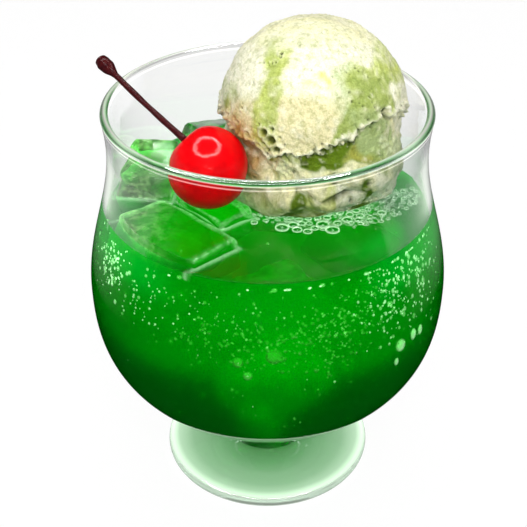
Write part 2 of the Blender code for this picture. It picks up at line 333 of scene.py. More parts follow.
class NodeBoard:
    """The nodes of one material or of the sky, added and joined in short calls."""

    def __init__(self, owner: bpy.types.Material | bpy.types.World) -> None:
        """Start with an empty node tree on the material or the world."""
        self.owner = owner
        owner.use_nodes = True
        self.tree = owner.node_tree
        self.tree.nodes.clear()
        kind = "Material" if isinstance(owner, bpy.types.Material) else "World"
        self.output = self.add("ShaderNodeOutput" + kind, {})

    @classmethod
    def material(cls, name: str) -> NodeBoard:
        """Start a new material of that name."""
        return cls(bpy.data.materials.new(name))

    def add(self, kind: str, inputs: dict[str | int, object], **settings: object) -> bpy.types.Node:
        """Add a node.

        Args:
            kind: The node's type.
            inputs: Value or other node's socket for each named input; a colour has three numbers.
            settings: The node's own properties.

        Returns:
            The node.
        """
        node = self.tree.nodes.new(kind)
        for key, value in settings.items():
            setattr(node, key, value)
        for key, value in inputs.items():
            self.give(node.inputs[key], value)
        return node

    def give(self, socket: Socket, value: object) -> None:
        """Join another node's socket to this one, or set its value."""
        if isinstance(value, Socket):
            self.tree.links.new(value, socket)
        else:
            socket.default_value = (*value, 1.0) if socket.type == "RGBA" else value

    def stored(self, name: str) -> Socket:
        """Number that each face stores under a name."""
        node = self.add("ShaderNodeAttribute", {}, attribute_name=name, attribute_type="GEOMETRY")
        return node.outputs["Fac"]

    def painted(self, name: str) -> Socket:
        """Colour that each point stores under a name."""
        return self.add("ShaderNodeVertexColor", {}, layer_name=name).outputs["Color"]

    def maths(self, operation: str, first: Socket, second: Socket) -> Socket:
        """Join two values by an operation."""
        return self.add("ShaderNodeMath", {0: first, 1: second}, operation=operation).outputs[0]

    def noise(self, scale: float, detail: float = 3.0, roughness: float = 0.55) -> Socket:
        """Values of a noise on Object coordinates, in features a metre."""
        place = self.add("ShaderNodeTexCoord", {}).outputs["Object"]
        inputs = {"Vector": place, "Scale": scale, "Detail": detail, "Roughness": roughness}
        return self.add("ShaderNodeTexNoise", inputs).outputs["Fac"]

    def spread(self, value: Socket, start: float, end: float, low: float, high: float) -> Socket:
        """Map values between start and end to the range from low to high."""
        inputs = {"Value": value, "From Min": start, "From Max": end, "To Min": low, "To Max": high}
        return self.add("ShaderNodeMapRange", inputs).outputs["Result"]

    def mix(self, share: Socket, first: object, second: object, blend: str = "MIX") -> Socket:
        """Mix two colours or colour sockets by a share."""
        node = self.add("ShaderNodeMix", {}, data_type="RGBA", blend_type=blend)
        for number, value in ((0, share), (6, first), (7, second)):
            self.give(node.inputs[number], value)
        return node.outputs[2]

    def bump(self, height: Socket, distance: float, strength: float, under: Socket | None = None) -> Socket:
        """Turn a height into a bumped normal, on top of another one if given."""
        inputs = {"Height": height, "Distance": distance, "Strength": strength}
        if under is not None:
            inputs["Normal"] = under
        return self.add("ShaderNodeBump", inputs).outputs["Normal"]

    def finish(self, surface: bpy.types.Node, volume: bpy.types.Node | None = None) -> bpy.types.Material:
        """Join the shaders to the output and return the material."""
        self.tree.links.new(surface.outputs[0], self.output.inputs["Surface"])
        if volume:
            self.tree.links.new(volume.outputs[0], self.output.inputs["Volume"])
        return self.owner


@dataclass(frozen=True)
class ClearSolid:
    """A see-through solid that swallows a little light on the way.

    swallow gives the shares of red, green and blue light lost a metre, as exponents, and glow is painted
    light, an emission that stands in for the light that its surface scatters back, even or painted at
    each point, and broken up by a noise of glow_grain features a metre. A painted shade darkens what
    passes where the surface is seen edge-on, down to the share at_edge, as far as each face's stored edge
    shade allows. Painted clearness is the share that passes at each point, which carries painted shade
    lines, and then each face stores its roughness too. A solid that touches another clear one has the
    ratio of their indices stored at each face.
    """

    name: str
    index: float
    swallow: Colour
    glow: Colour = BLACK
    painted_glow: bool = False
    clearness_with_painted_shade: bool = False
    glow_grain: float = 0.0
    grain_band: Span = (0.44, 0.62)
    grain_least: float = 0.12
    at_edge: float = 1.0
    edge_band: Span = (0.03, 0.24)
    roughness: float = 0.0
    ripple: float = 0.0
    ripple_scale: float = 300.0
    touches_another: bool = True

    def make(self) -> bpy.types.Material:
        """Build the material and return it."""
        board = NodeBoard.material(self.name)
        # The emission is painted light that stands in for scattered light and highlights
        inputs = {
            "Base Color": WHITE, "Roughness": self.roughness, "IOR": self.index,
            "Transmission Weight": 1.0, "Emission Color": self.glow, "Emission Strength": 1.0,
        }
        if self.touches_another:
            inputs["IOR"] = board.stored(BENDING)
        if self.ripple:
            inputs["Normal"] = board.bump(board.noise(self.ripple_scale, detail=2.0), self.ripple, 1.0)
        # Painted shade: a darker base colour where the surface is seen edge-on
        if self.at_edge < 1.0:
            facing = board.add("ShaderNodeLayerWeight", {"Blend": 0.5}).outputs["Facing"]
            share = board.spread(facing, *self.edge_band, 0.0, 1.0)
            share = board.maths("MULTIPLY", share, board.stored(PAINTED_EDGE_SHADE))
            inputs["Base Color"] = board.mix(share, WHITE, (self.at_edge,) * 3)
        # Painted shade: the clearness painted at each point darkens lines
        if self.clearness_with_painted_shade:
            inputs["Base Color"] = board.painted(CLEARNESS_WITH_PAINTED_SHADE)
            inputs["Roughness"] = board.stored(FROST)
        # Painted light: the emission colour painted at each point
        if self.painted_glow:
            inputs["Emission Color"] = board.painted(PAINTED_LIGHT)
        if self.glow_grain:
            grain = board.noise(self.glow_grain, detail=4.0, roughness=0.7)
            share = board.spread(grain, *self.grain_band, self.grain_least, 1.0)
            inputs["Emission Color"] = board.mix(share, BLACK, inputs["Emission Color"])
        surface = board.add("ShaderNodeBsdfPrincipled", inputs)
        most = max(self.swallow)
        if most == 0.0:
            return board.finish(surface)
        colour = tuple(1.0 - share / most for share in self.swallow)
        volume = board.add("ShaderNodeVolumeAbsorption", {"Color": colour, "Density": most})
        return board.finish(surface, volume)


@dataclass(frozen=True)
class MarbledCream:
    """Ice cream: painted marbling, broken up by fine grain, over a crumbly frozen surface.

    A band gives the low and the high noise value, and how much of its shade each of them gets.
    """

    name: str = "marbled_ice_cream"
    paint: str = "marbling"
    grain: float = 2400.0
    crumb: float = 640.0
    grain_height: float = 0.00020
    crumb_height: float = 0.00042
    grain_band: Row = (0.38, 0.62, 0.50, 0.0)
    crumb_band: Row = (0.36, 0.52, 0.55, 0.0)
    grain_shade: Colour = (0.62, 0.64, 0.48)
    crumb_shade: Colour = (0.52, 0.56, 0.34)

    def make(self) -> bpy.types.Material:
        """Build the material and return it."""
        board = NodeBoard.material(self.name)
        grain = board.noise(self.grain, detail=3.0, roughness=0.6)
        crumb = board.noise(self.crumb, detail=4.0, roughness=0.6)
        in_grain = board.spread(grain, *self.grain_band)
        in_crumb = board.spread(crumb, *self.crumb_band)
        colour = board.mix(in_grain, board.painted(self.paint), self.grain_shade, "MULTIPLY")
        colour = board.mix(in_crumb, colour, self.crumb_shade, "MULTIPLY")
        normal = board.bump(crumb, self.crumb_height, 0.8)
        normal = board.bump(grain, self.grain_height, 0.8, normal)
        surface = board.add("ShaderNodeBsdfPrincipled", {
            "Base Color": colour, "Roughness": 0.55, "IOR": 1.35, "Normal": normal,
            "Subsurface Weight": 0.12, "Subsurface Radius": (1.0, 0.8, 0.5), "Subsurface Scale": 0.0006,
        })
        return board.finish(surface)


@dataclass(frozen=True)
class CherrySkin:
    """Candied cherry: bright red flesh under a wet gloss, with faint darker mottling."""

    name: str = "cherry_skin"
    red: Colour = (0.86, 0.0, 0.003)
    shade: Colour = (0.60, 0.0, 0.002)
    mottle: Row = (0.35, 0.7, 0.0, 0.8)
    wrinkle_height: float = 0.00008
    grain_height: float = 0.00004

    def make(self) -> bpy.types.Material:
        """Build the material and return it."""
        board = NodeBoard.material(self.name)
        mottle = board.spread(board.noise(260.0), *self.mottle)
        wrinkle = board.bump(board.noise(420.0, detail=2.0), self.wrinkle_height, 0.5)
        grain = board.bump(board.noise(2400.0, detail=2.0), self.grain_height, 0.6, wrinkle)
        surface = board.add("ShaderNodeBsdfPrincipled", {
            "Base Color": board.mix(mottle, self.red, self.shade), "Roughness": 0.55, "IOR": 1.36,
            "Specular IOR Level": 0.12, "Normal": wrinkle, "Coat Normal": grain, "Coat Weight": 0.35,
            "Coat Roughness": 0.04, "Coat IOR": 1.3,
        })
        return board.finish(surface)


@dataclass(frozen=True)
class StalkBark:
    """Cherry stalk: dark red-brown, streaked along its length, a little glossy with syrup."""

    name: str = "cherry_stalk"
    dark: Colour = (0.030, 0.003, 0.005)
    light: Colour = (0.060, 0.006, 0.006)
    streak: Row = (0.35, 0.7, 0.0, 1.0)
    grain_height: float = 0.00012

    def make(self) -> bpy.types.Material:
        """Build the material and return it."""
        board = NodeBoard.material(self.name)
        streak = board.spread(board.noise(900.0), *self.streak)
        grain = board.bump(board.noise(1300.0, detail=2.0), self.grain_height, 0.7)
        surface = board.add("ShaderNodeBsdfPrincipled", {
            "Base Color": board.mix(streak, self.dark, self.light), "Roughness": 0.45,
            "Specular IOR Level": 0.06, "Normal": grain, "Coat Weight": 0.04, "Coat Roughness": 0.15,
        })
        return board.finish(surface)


@dataclass(frozen=True)
class Matt:
    """A plain matt surface that may glow."""

    name: str
    colour: Colour
    glow: float = 0.0
    roughness: float = 0.8

    def make(self) -> bpy.types.Material:
        """Build the material and return it."""
        board = NodeBoard.material(self.name)
        surface = board.add("ShaderNodeBsdfPrincipled", {
            "Base Color": self.colour, "Roughness": self.roughness, "Emission Color": WHITE,
            "Emission Strength": self.glow,
        })
        return board.finish(surface)


@dataclass(frozen=True)
class PaintedGreenShadow:
    """The floor as the glass shows it: white, with a painted green shadow round the foot.

    rings are distances from the axis and the painted light that the floor gives there. On the drinker's
    side a painted shade makes it dark beyond the foot, from and to the two places in dim, where it loses
    the share dim_loss. Behind the goblet painted_shadow_band gives where a painted shadow band starts, is
    darkest and ends, and how much light it takes.
    """

    name: str = "floor_with_painted_green_shadow"
    rings: tuple[tuple[float, Colour], ...] = (
        (0.0, (0.08, 0.30, 0.08)), (0.012, (0.16, 0.42, 0.17)), (0.024, (0.38, 0.66, 0.39)),
        (0.045, (0.60, 0.72, 0.60)), (0.066, (1.0, 1.0, 1.0)),
    )
    dim: Span = (-0.045, -0.075)
    dim_loss: float = 0.97
    painted_shadow_band: Row = (0.090, 0.140, 0.200, 0.45)

    def make(self) -> bpy.types.Material:
        """Build the material and return it."""
        board = NodeBoard.material(self.name)
        place = board.add("ShaderNodeTexCoord", {}).outputs["Object"]
        away = board.add("ShaderNodeVectorMath", {0: place}, operation="LENGTH").outputs["Value"]
        # Painted green shadow round the foot, white further out
        light = self.rings[0][1]
        for (start, _), (end, colour) in zip(self.rings, self.rings[1:]):
            light = board.mix(board.spread(away, start, end, 0.0, 1.0), light, colour)
        # Painted shadow band behind the goblet, and painted shade on the drinker's side
        depth = board.add("ShaderNodeSeparateXYZ", {"Vector": place}).outputs["Y"]
        start, darkest, end, loss = self.painted_shadow_band
        falling = board.spread(depth, start, darkest, 0.0, loss)
        rising = board.spread(depth, darkest, end, 1.0, 0.0)
        light = board.mix(board.maths("MULTIPLY", falling, rising), light, BLACK)
        light = board.mix(board.spread(depth, *self.dim, 0.0, self.dim_loss), light, BLACK)
        surface = board.add("ShaderNodeBsdfPrincipled", {
            "Base Color": BLACK, "Specular IOR Level": 0.0, "Emission Color": light,
            "Emission Strength": 1.0,
        })
        return board.finish(surface)


# Goblet


@dataclass(frozen=True)
class Goblet:
    """The footed goblet, turned round the Z axis.

    Lip highlights and lip shades give the place, half width and share of each pale painted highlight
    line and each dark painted shade line on the lip, and painted reflections the azimuth and half width
    of the two pale stretches of wall, which are painted reflections.
    """

    height: float = 0.11135
    rim_radius: float = 0.0415
    neck_radius: float = 0.0407
    neck_height: float = 0.1015
    belly_radius: float = 0.0478
    belly_height: float = 0.0610
    underside: float = 0.0222
    roundness: float = 2.55
    stem_radius: float = 0.0105
    waist_height: float = 0.0145
    stem_top_pull: float = 0.0045
    waist_pull: float = 0.0050
    foot_sweep: tuple[Span, ...] = ((0.0105, 0.0075), (0.0165, 0.0051))
    foot_radius: float = 0.0298
    foot_edge: float = 0.0034
    foot_ring: float = 0.0220
    foot_hollow: float = 0.0010
    wall: float = 0.0019
    lip: float = 0.0022
    floor: float = 0.0043
    wet_line: float = 0.0852
    columns: int = 240
    # Painted highlight lines and painted shade lines on the lip, painted reflections down the walls, and a
    # painted highlight round the foot
    lip_highlights: tuple[Row, ...] = (
        (0.0018, 0.00050, 0.95), (0.00010, 0.00016, 1.0), (-0.00095, 0.00015, 0.9),
    )
    lip_shades: tuple[Row, ...] = ((0.00075, 0.00026, 0.95), (-0.00045, 0.00020, 0.45))
    lip_highlight_glow: Colour = (0.62, 0.57, 0.56)
    painted_reflections: tuple[Span, ...] = ((-163.0, 9.0), (-18.0, 9.0))
    painted_reflection_heights: Row = (0.0855, 0.0890, 0.0985, 0.1060)
    painted_reflection_glow: Colour = (0.15, 0.17, 0.14)
    foot_highlight: Span = (0.0286, 0.0010)
    painted_foot_highlight: Colour = (0.32, 0.37, 0.31)
    wet_roughness: float = 0.50
    finish: ClearSolid = ClearSolid(
        "clear_glass", GLASS_INDEX, (14.0, 12.0, 13.0), painted_glow=True, clearness_with_painted_shade=True
    )

    def lower_bowl(self, inset: float, floor: float, count: int) -> np.ndarray:
        """Section of the lower bowl from the axis to the belly, a quarter of a superellipse.

        Radius is w cos(a)^(2/n) and height is top - d sin(a)^(2/n), with a from 90 degrees to 0.

        Args:
            inset: Distance inside the outer surface at the belly.
            floor: Thickness of glass under the axis.
            count: Number of steps.

        Returns:
            Rows of (radius, height).
        """
        angle = np.linspace(0.5 * math.pi, 0.0, count + 1)
        power = 2.0 / self.roundness
        radius = (self.belly_radius - inset) * np.maximum(np.cos(angle), 0.0) ** power
        radius[0] = 0.0
        depth = self.belly_height - self.underside - floor
        return np.stack([radius, self.belly_height - depth * np.sin(angle) ** power], 1)

    def upper_wall(self, height: np.ndarray, inset: float) -> np.ndarray:
        """Radius above the belly: half a cosine wave to the neck, then a parabola's flare to the rim.

        Args:
            height: Heights above the belly.
            inset: Distance inside the outer surface, 0 for the outer surface itself.

        Returns:
            The radii.
        """
        rise = (height - self.belly_height) / (self.neck_height - self.belly_height)
        wave = 0.5 * (1.0 + np.cos(math.pi * np.clip(rise, 0.0, 1.0)))
        radius = self.neck_radius + (self.belly_radius - self.neck_radius) * wave
        flare = (height - self.neck_height) / (self.height - 0.5 * self.lip - self.neck_height)
        flare = np.clip(flare, 0.0, 1.0)
        thickening = (self.lip - self.wall) * flare if inset else 0.0
        return radius + (self.rim_radius - self.neck_radius) * flare ** 2 - inset - thickening

    def room_radius(self, height: np.ndarray, clearance: float = 0.0) -> np.ndarray:
        """Radius of the goblet's room at any height, less a clearance.

        Args:
            height: Heights.
            clearance: Distance from the glass.

        Returns:
            The radii, 0 under the room's floor.
        """
        depth = self.belly_height - self.underside - self.floor
        share = np.clip((self.belly_height - height) / depth, 0.0, 1.0)
        low = (self.belly_radius - self.wall) * (1.0 - share ** self.roundness) ** (1.0 / self.roundness)
        high = self.upper_wall(np.minimum(height, self.height - self.lip), self.wall)
        return np.maximum(np.where(height >= self.belly_height, high, low) - clearance, 0.0)

    def stretch(self, start: float, end: float, inset: float, count: int) -> np.ndarray:
        """Section of the upper wall between two heights, without its first point."""
        heights = np.linspace(start, end, count + 1)[1:]
        return np.stack([self.upper_wall(heights, inset), heights], 1)

    @staticmethod
    def arc(centre: Span, radius: float, start: float, end: float, count: int) -> np.ndarray:
        """Section of a round edge between two angles in degrees, without its first point."""
        angle = np.radians(np.linspace(start, end, count + 1)[1:])
        return np.stack([centre[0] + radius * np.cos(angle), centre[1] + radius * np.sin(angle)], 1)

    @staticmethod
    def curve(corners: list[Span], count: int) -> np.ndarray:
        """Section of one cubic curve through four corners, weights (1-t)^3, 3t(1-t)^2, 3t^2(1-t), t^3."""
        t = np.linspace(0.0, 1.0, count + 1)[1:, None]
        weights = np.concatenate([(1 - t) ** 3, 3 * t * (1 - t) ** 2, 3 * t ** 2 * (1 - t), t ** 3], 1)
        return weights @ np.array(corners)

    def section(self) -> np.ndarray:
        """Section of the glass: up its inside from the axis, over the lip, and down to the foot.

        Returns:
            Rows of (radius, height) from the room's floor to the middle of the foot's underside.
        """
        top = self.height - 0.5 * self.lip
        bowl = self.lower_bowl(0.0, 0.0, 64)[:2:-1]
        before, last = bowl[-2], bowl[-1]
        handle = last + (last - before) / np.hypot(*(last - before)) * self.stem_top_pull
        waist = (self.stem_radius, self.waist_height)
        foot = (self.foot_radius - 0.5 * self.foot_edge, 0.5 * self.foot_edge)
        share = np.linspace(1.0, 0.0, 13)
        hollow = np.stack([self.foot_ring * share, self.foot_hollow * (1.0 - share ** 2)], 1)
        return np.concatenate([
            self.lower_bowl(self.wall, self.floor, 56),
            self.stretch(self.belly_height, self.wet_line, self.wall, 20),
            self.stretch(self.wet_line, self.neck_height, self.wall, 14),
            self.stretch(self.neck_height, top, self.wall, 10),
            self.arc((self.rim_radius - 0.5 * self.lip, top), 0.5 * self.lip, 180, 0, 32),
            self.stretch(self.neck_height, top, 0.0, 44)[-2::-1],
            self.stretch(self.belly_height, self.neck_height, 0.0, 30)[::-1],
            bowl,
            self.curve([last, handle, (waist[0], waist[1] + self.waist_pull), waist], 16),
            self.curve([waist, *self.foot_sweep, (foot[0], self.foot_edge)], 24),
            self.arc(foot, 0.5 * self.foot_edge, 90, -90, 16),
            hollow,
        ])

    def build(self) -> bpy.types.Object:
        """Turn the section round the axis and dress it in glass, wet inside up to the drink's edge."""
        section = self.section()
        rings = around(section[:, :1], full_turn(self.columns)[None], section[:, 1:])
        thing = make_mesh("goblet", *closed_lattice(rings))
        inside = section[:np.argmax(section[:, 1]), 1]
        wet = np.arange(len(section) - 1) < np.argmin(np.abs(inside - self.wet_line))
        ratio = np.where(wet, GLASS_INDEX / SODA_INDEX, GLASS_INDEX)
        set_faces(thing, BENDING, np.repeat(ratio, self.columns))
        set_faces(thing, FROST, np.repeat(np.where(wet, self.wet_roughness, 0.0), self.columns))
        points = points_of(thing.data)
        # Painted light and painted shade at each point: highlights and reflections glow, and shade lines
        # darken the clearness
        shade = self.lines_at(points, self.lip_shades)
        paint_points(thing, PAINTED_LIGHT, self.painted_light_at(points))
        paint_points(thing, CLEARNESS_WITH_PAINTED_SHADE, np.repeat(1.0 - shade[:, None], 3, axis=1))
        return hand_over(thing, self.finish.make(), "clear_glass", "glass")

    def lines_at(self, points: np.ndarray, lines: tuple[Row, ...]) -> np.ndarray:
        """Strength of painted lines round the lip, for the highlights and for the shade.

        A line is share * exp(-(distance / half width)^2), over the distance along the section from the
        lip's outermost place, which grows up over the lip and is negative down the outside.

        Args:
            points: Points of the glass.
            lines: Place, half width and share of each line.

        Returns:
            The strengths, from 0 to 1.
        """
        radius = 0.5 * self.lip
        out = np.hypot(points[:, 0], points[:, 1]) - (self.rim_radius - radius)
        high = points[:, 2] - (self.height - radius)
        path = np.where((high < 0.0) & (out > 0.0), high, radius * np.arctan2(high, out))
        strengths = [share * np.exp(-(((path - place) / half) ** 2)) for place, half, share in lines]
        return np.minimum(sum(strengths), 1.0)

    def painted_light_at(self, points: np.ndarray) -> np.ndarray:
        """Painted light: highlight lines on the lip and round the foot, and a reflection down each side.

        Args:
            points: Points of the glass.

        Returns:
            Linear colours.
        """
        azimuth = np.degrees(np.arctan2(points[:, 1], points[:, 0]))
        start, full, fade, end = self.painted_reflection_heights
        high = smoothstep(start, full, points[:, 2]) * smoothstep(end, fade, points[:, 2])
        painted_reflection = high * sum(bell(azimuth, place, width) for place, width in self.painted_reflections)
        place, half = self.foot_highlight
        away = np.hypot(points[:, 0], points[:, 1])
        foot = np.exp(-(((away - place) / half) ** 2)) * (points[:, 2] < self.waist_height)
        glow = self.lines_at(points, self.lip_highlights)[:, None] * np.array(self.lip_highlight_glow)
        return glow + painted_reflection[:, None] * np.array(self.painted_reflection_glow) + foot[:, None] * np.array(self.painted_foot_highlight)


GOBLET = Goblet()


# Ice cream


class Tint(Enum):
    """Colours of the marbled ice cream, as linear red, green and blue."""

    CREAM = (0.95, 0.93, 0.74)
    WARM_CREAM = (0.82, 0.76, 0.46)
    YELLOW = (0.94, 0.88, 0.26)
    LIME = (0.57, 0.65, 0.18)
    LEAF = (0.36, 0.45, 0.12)
    OLIVE = (0.40, 0.40, 0.07)
    GREY_GREEN = (0.42, 0.52, 0.22)
    PALE_GREEN = (0.61, 0.68, 0.40)
    MOSS = (0.14, 0.23, 0.01)
    CHERRY_STAIN = (0.45, 0.26, 0.07)
    # SHADE is painted shade, for the pits, the slit and under the broken edge
    SHADE = (0.05, 0.07, 0.01)


@dataclass(frozen=True)
class Vein:
    """One cloud of the marbling, a soft-edged box across and up the scoop as the drinker sees it.

    Places and sizes are in radii of the scoop, from its middle. A box that leans moves across by lean
    for each radius up.
    """

    tint: Tint
    across: Span
    up: Span
    strength: float = 1.0
    soft: float = 0.06
    lean: float = 0.0

    def cover(self, across: np.ndarray, up: np.ndarray) -> np.ndarray:
        """Share of the vein's colour at each place, the product of four soft edges.

        Args:
            across: Places across.
            up: Places up.

        Returns:
            The shares, from 0 to the vein's strength.
        """
        inside = np.full_like(across, self.strength)
        for value, (low, high) in ((across - self.lean * up, self.across), (up, self.up)):
            inside = inside * smoothstep(low - self.soft, low + self.soft, value)
            inside = inside * (1.0 - smoothstep(high - self.soft, high + self.soft, value))
        return inside


@dataclass(frozen=True)
class Scoop:
    """One scoop: a dome over a ragged skirt, dented by the cherry and pressed flat by the glass.

    Forms on it are given by azimuth and half width in degrees, and height or depth in metres. Cracks
    and pits have their elevation too, and bands are elevations, or degrees below the broken edge. In the
    fine form the ledge's edge, the lumps and the cracks keep only a share of their size. Paint is given
    by its share, and by the heights or degrees from and to which, or round which, it lies. The pale torn
    edge and the pale crests are painted highlights, and the dark pits, the slit and the band under the
    edge are painted shade. The slit and the stain have their share, the most that it may reach, and
    their width.
    """

    goblet: Goblet = GOBLET
    centre: Place = (0.0118, 0.0076, 0.1058)
    radius: float = 0.0240
    depth: float = 0.0275
    squareness: float = 3.6
    wall_gap: float = 0.0006
    ridge: tuple[Span, ...] = (
        (-180, 4), (-150, 3), (-134, 0), (-120, -5), (-100, -4), (-80, 3), (-68, 9),
        (-55, 13), (-45, 17), (-20, 8), (20, -4), (80, -8), (130, -3), (180, 4),
    )
    ledge: float = 0.0014
    ledge_lip: float = 0.0004
    ledge_band: Row = (3.0, 14.0, 34.0)
    ledge_share: float = 0.5
    ledge_by_cherry: Row = (-128, 32, 0.0014)
    square_from: float = 25.0
    skirt_band: Row = (-8.0, -28.0, -46.0, -62.0)
    rag: WaveField = WaveField(17.0, 0.0009, 21)
    crumple: tuple[WaveField, ...] = (WaveField(9.0, 0.00010, 22), WaveField(22.0, 0.00012, 23))
    lumps: tuple[Row, ...] = (
        (-101, 8, 0.0009), (-84, 9, 0.0013), (-64, 8, 0.0012), (-42, 12, 0.0009),
        (30, 16, 0.0010), (70, 10, 0.0012), (105, 12, 0.0010), (150, 14, 0.0024),
    )
    lump_share: float = 0.6
    hollow_by_cherry: Row = (-140, 26, 0.0030)
    hollow_fade: Span = (-34.0, -48.0)
    tuck_in_front: Row = (-76, 52, 0.0042)
    tuck_rise: Span = (-20.0, -46.0)
    cracks: tuple[Row, ...] = (
        (-76, 11, -27, 3.0, 0.0022), (-45, 4, 17, 7, 0.0013), (96, 16, -18, 4, 0.0015),
    )
    crack_share: float = 0.4
    cherry_centre: Place = CHERRY_CENTRE
    cherry_room: float = 0.0101
    tear: WaveField = WaveField(26.0, 1.8, 31, 32)
    fine_tear: WaveField = WaveField(95.0, 1.0, 35, 48)
    flakes: WaveField = WaveField(85.0, 0.00015, 32, 48)
    flakes_away: float = 0.25
    flakes_at_edge: Row = (1.7, 0.5, 4.5)
    grain: WaveField = WaveField(170.0, 0.00005, 33, 64)
    skirt_flakes: WaveField = WaveField(60.0, 0.00012, 34, 48)
    skirt_flake_band: Row = (2.0, -12.0, -36.0, -50.0)
    skirt_flake_loss: float = 0.7
    pits: tuple[Row, ...] = (
        (-122, 8, 1.7, 0.0015), (-117, 11, 1.1, 0.0009), (-117, 4.5, 1.9, 0.0017), (-112, 7, 0.9, 0.0007),
        (-121.5, 1.5, 1.1, 0.0010), (-113.5, -0.5, 1.7, 0.0015), (-109, 3, 0.8, 0.0007),
        (-126, 12, 0.8, 0.0006), (-118.5, 14.5, 0.7, 0.0005), (-109, -3.5, 0.8, 0.0006),
        (-118.5, -2, 1.0, 0.0008), (-128, 55, 1.0, 0.0008),
        (-127, 53, 0.8, 0.0007), (-129, 49, 0.8, 0.0007), (-132, 48, 0.8, 0.0006), (-134, 46, 0.7, 0.0005),
        (-136, 47, 0.7, 0.0005), (-140, 46, 0.7, 0.0004), (-57, 46, 0.8, 0.0005), (-55, 44, 0.8, 0.0006),
        (-66, 45, 0.7, 0.0004), (-68, 33, 0.8, 0.0005), (-67, 28, 0.8, 0.0006), (-60, 24, 0.8, 0.0005),
        (-62, 26, 0.6, 0.0004), (-51, 21, 0.8, 0.0005), (-53, 28, 0.8, 0.0006), (-49, 32, 0.6, 0.0004),
        (-49, 39, 0.7, 0.0005), (-49, 42, 0.6, 0.0004), (-146, 9, 1.2, 0.0009), (-143, 8, 1.0, 0.0007),
        (-142, 17, 0.8, 0.0005), (-134, 4, 1.1, 0.0009), (-132, -1, 1.1, 0.0009), (-161, 80, 1.1, 0.0005),
        (-127, 75, 0.7, 0.0003), (-95, 58, 0.8, 0.0004), (-59, 61, 0.7, 0.0003),
    )
    pit_rim: Span = (1.9, 0.6)
    small_pits: int = 190
    pit_seed: int = 41
    small_pit_widths: Span = (0.45, 1.0)
    small_pit_depths: Span = (0.00012, 0.00040)
    small_pit_lowest: float = -0.3
    relief_fade: Span = (88.0, 66.0)
    lowest_fine_ring: float = -58.0
    drinkers_up: Place = (0.0, 0.424, 0.906)
    warp_across: tuple[WaveField, ...] = (WaveField(7.0, 0.035, 51), WaveField(24.0, 0.028, 52))
    warp_up: tuple[WaveField, ...] = (WaveField(7.0, 0.035, 53), WaveField(24.0, 0.028, 54))
    breaks: tuple[WaveField, ...] = (WaveField(38.0, 0.22, 55, 40), WaveField(80.0, 0.16, 56, 40))
    seam_band: Span = (-0.6, 0.8)
    # Painted highlights on the torn edge and the crests, painted shade in the pits, the slit and under the
    # edge
    painted_torn_edge_highlight: Row = (0.95, -1.0, 1.2)
    edge_middle: float = -70.0
    edge_fade: Span = (170.0, 120.0)
    painted_crest_highlight: Row = (0.45, 0.00014, 0.00034)
    painted_pit_shade: Row = (0.95, -0.00018, -0.00048)
    painted_slit_shade: Row = (1.1, 0.90, 0.35)
    painted_shadow_under_edge: Row = (0.70, 2.0, 1.3)
    stain: Row = (0.98, 0.90, 0.0044)
    shade_breaks: Span = (0.3, 1.3)
    stain_breaks: Span = (0.3, 1.2)
    columns: int = 400
    rows: int = 236
    marbling: tuple[Vein, ...] = (
        Vein(Tint.YELLOW, (-0.70, 0.60), (0.70, 1.0), 0.22, 0.15),
        Vein(Tint.WARM_CREAM, (-0.78, 0.32), (-0.55, 0.12), 1.00, 0.08),
        Vein(Tint.LIME, (-0.62, -0.38), (-0.40, 0.54), 0.90),
        Vein(Tint.LIME, (-0.60, -0.24), (0.44, 0.68), 0.50, 0.08),
        Vein(Tint.LEAF, (-0.50, -0.40), (-0.38, 0.22), 0.55, 0.05),
        Vein(Tint.LEAF, (-0.58, -0.44), (0.24, 0.60), 0.35, 0.05),
        Vein(Tint.LEAF, (-0.36, -0.05), (0.62, 0.69), 0.30, 0.04, 0.20),
        Vein(Tint.LEAF, (-0.95, -0.76), (-0.08, 0.24), 0.65, 0.07),
        Vein(Tint.OLIVE, (-0.54, -0.38), (-0.42, -0.22), 0.55, 0.05),
        Vein(Tint.PALE_GREEN, (0.20, 0.50), (-0.20, 0.50), 0.80, 0.10),
        Vein(Tint.LIME, (0.34, 0.88), (-0.05, 0.52), 0.75, 0.10),
        Vein(Tint.LEAF, (0.36, 0.82), (-0.20, 0.34), 0.75, 0.10),
        Vein(Tint.LEAF, (0.34, 0.52), (-0.52, 0.14), 1.50, 0.05, 0.62),
        Vein(Tint.GREY_GREEN, (0.30, 0.80), (-0.40, -0.04), 0.60, 0.06),
        Vein(Tint.LIME, (0.56, 0.94), (0.30, 0.80), 0.55, 0.10),
        Vein(Tint.CREAM, (0.38, 0.56), (0.42, 0.74), 0.95),
        Vein(Tint.CREAM, (0.80, 1.04), (-0.55, 0.26), 1.20, 0.05),
        Vein(Tint.YELLOW, (0.03, 0.12), (0.28, 0.40), 0.75, 0.03),
        Vein(Tint.YELLOW, (0.10, 0.17), (0.21, 0.30), 0.65, 0.03),
        Vein(Tint.YELLOW, (-0.09, 0.01), (0.16, 0.26), 0.45, 0.03),
        Vein(Tint.YELLOW, (0.00, 0.10), (0.09, 0.18), 0.50, 0.03),
    )
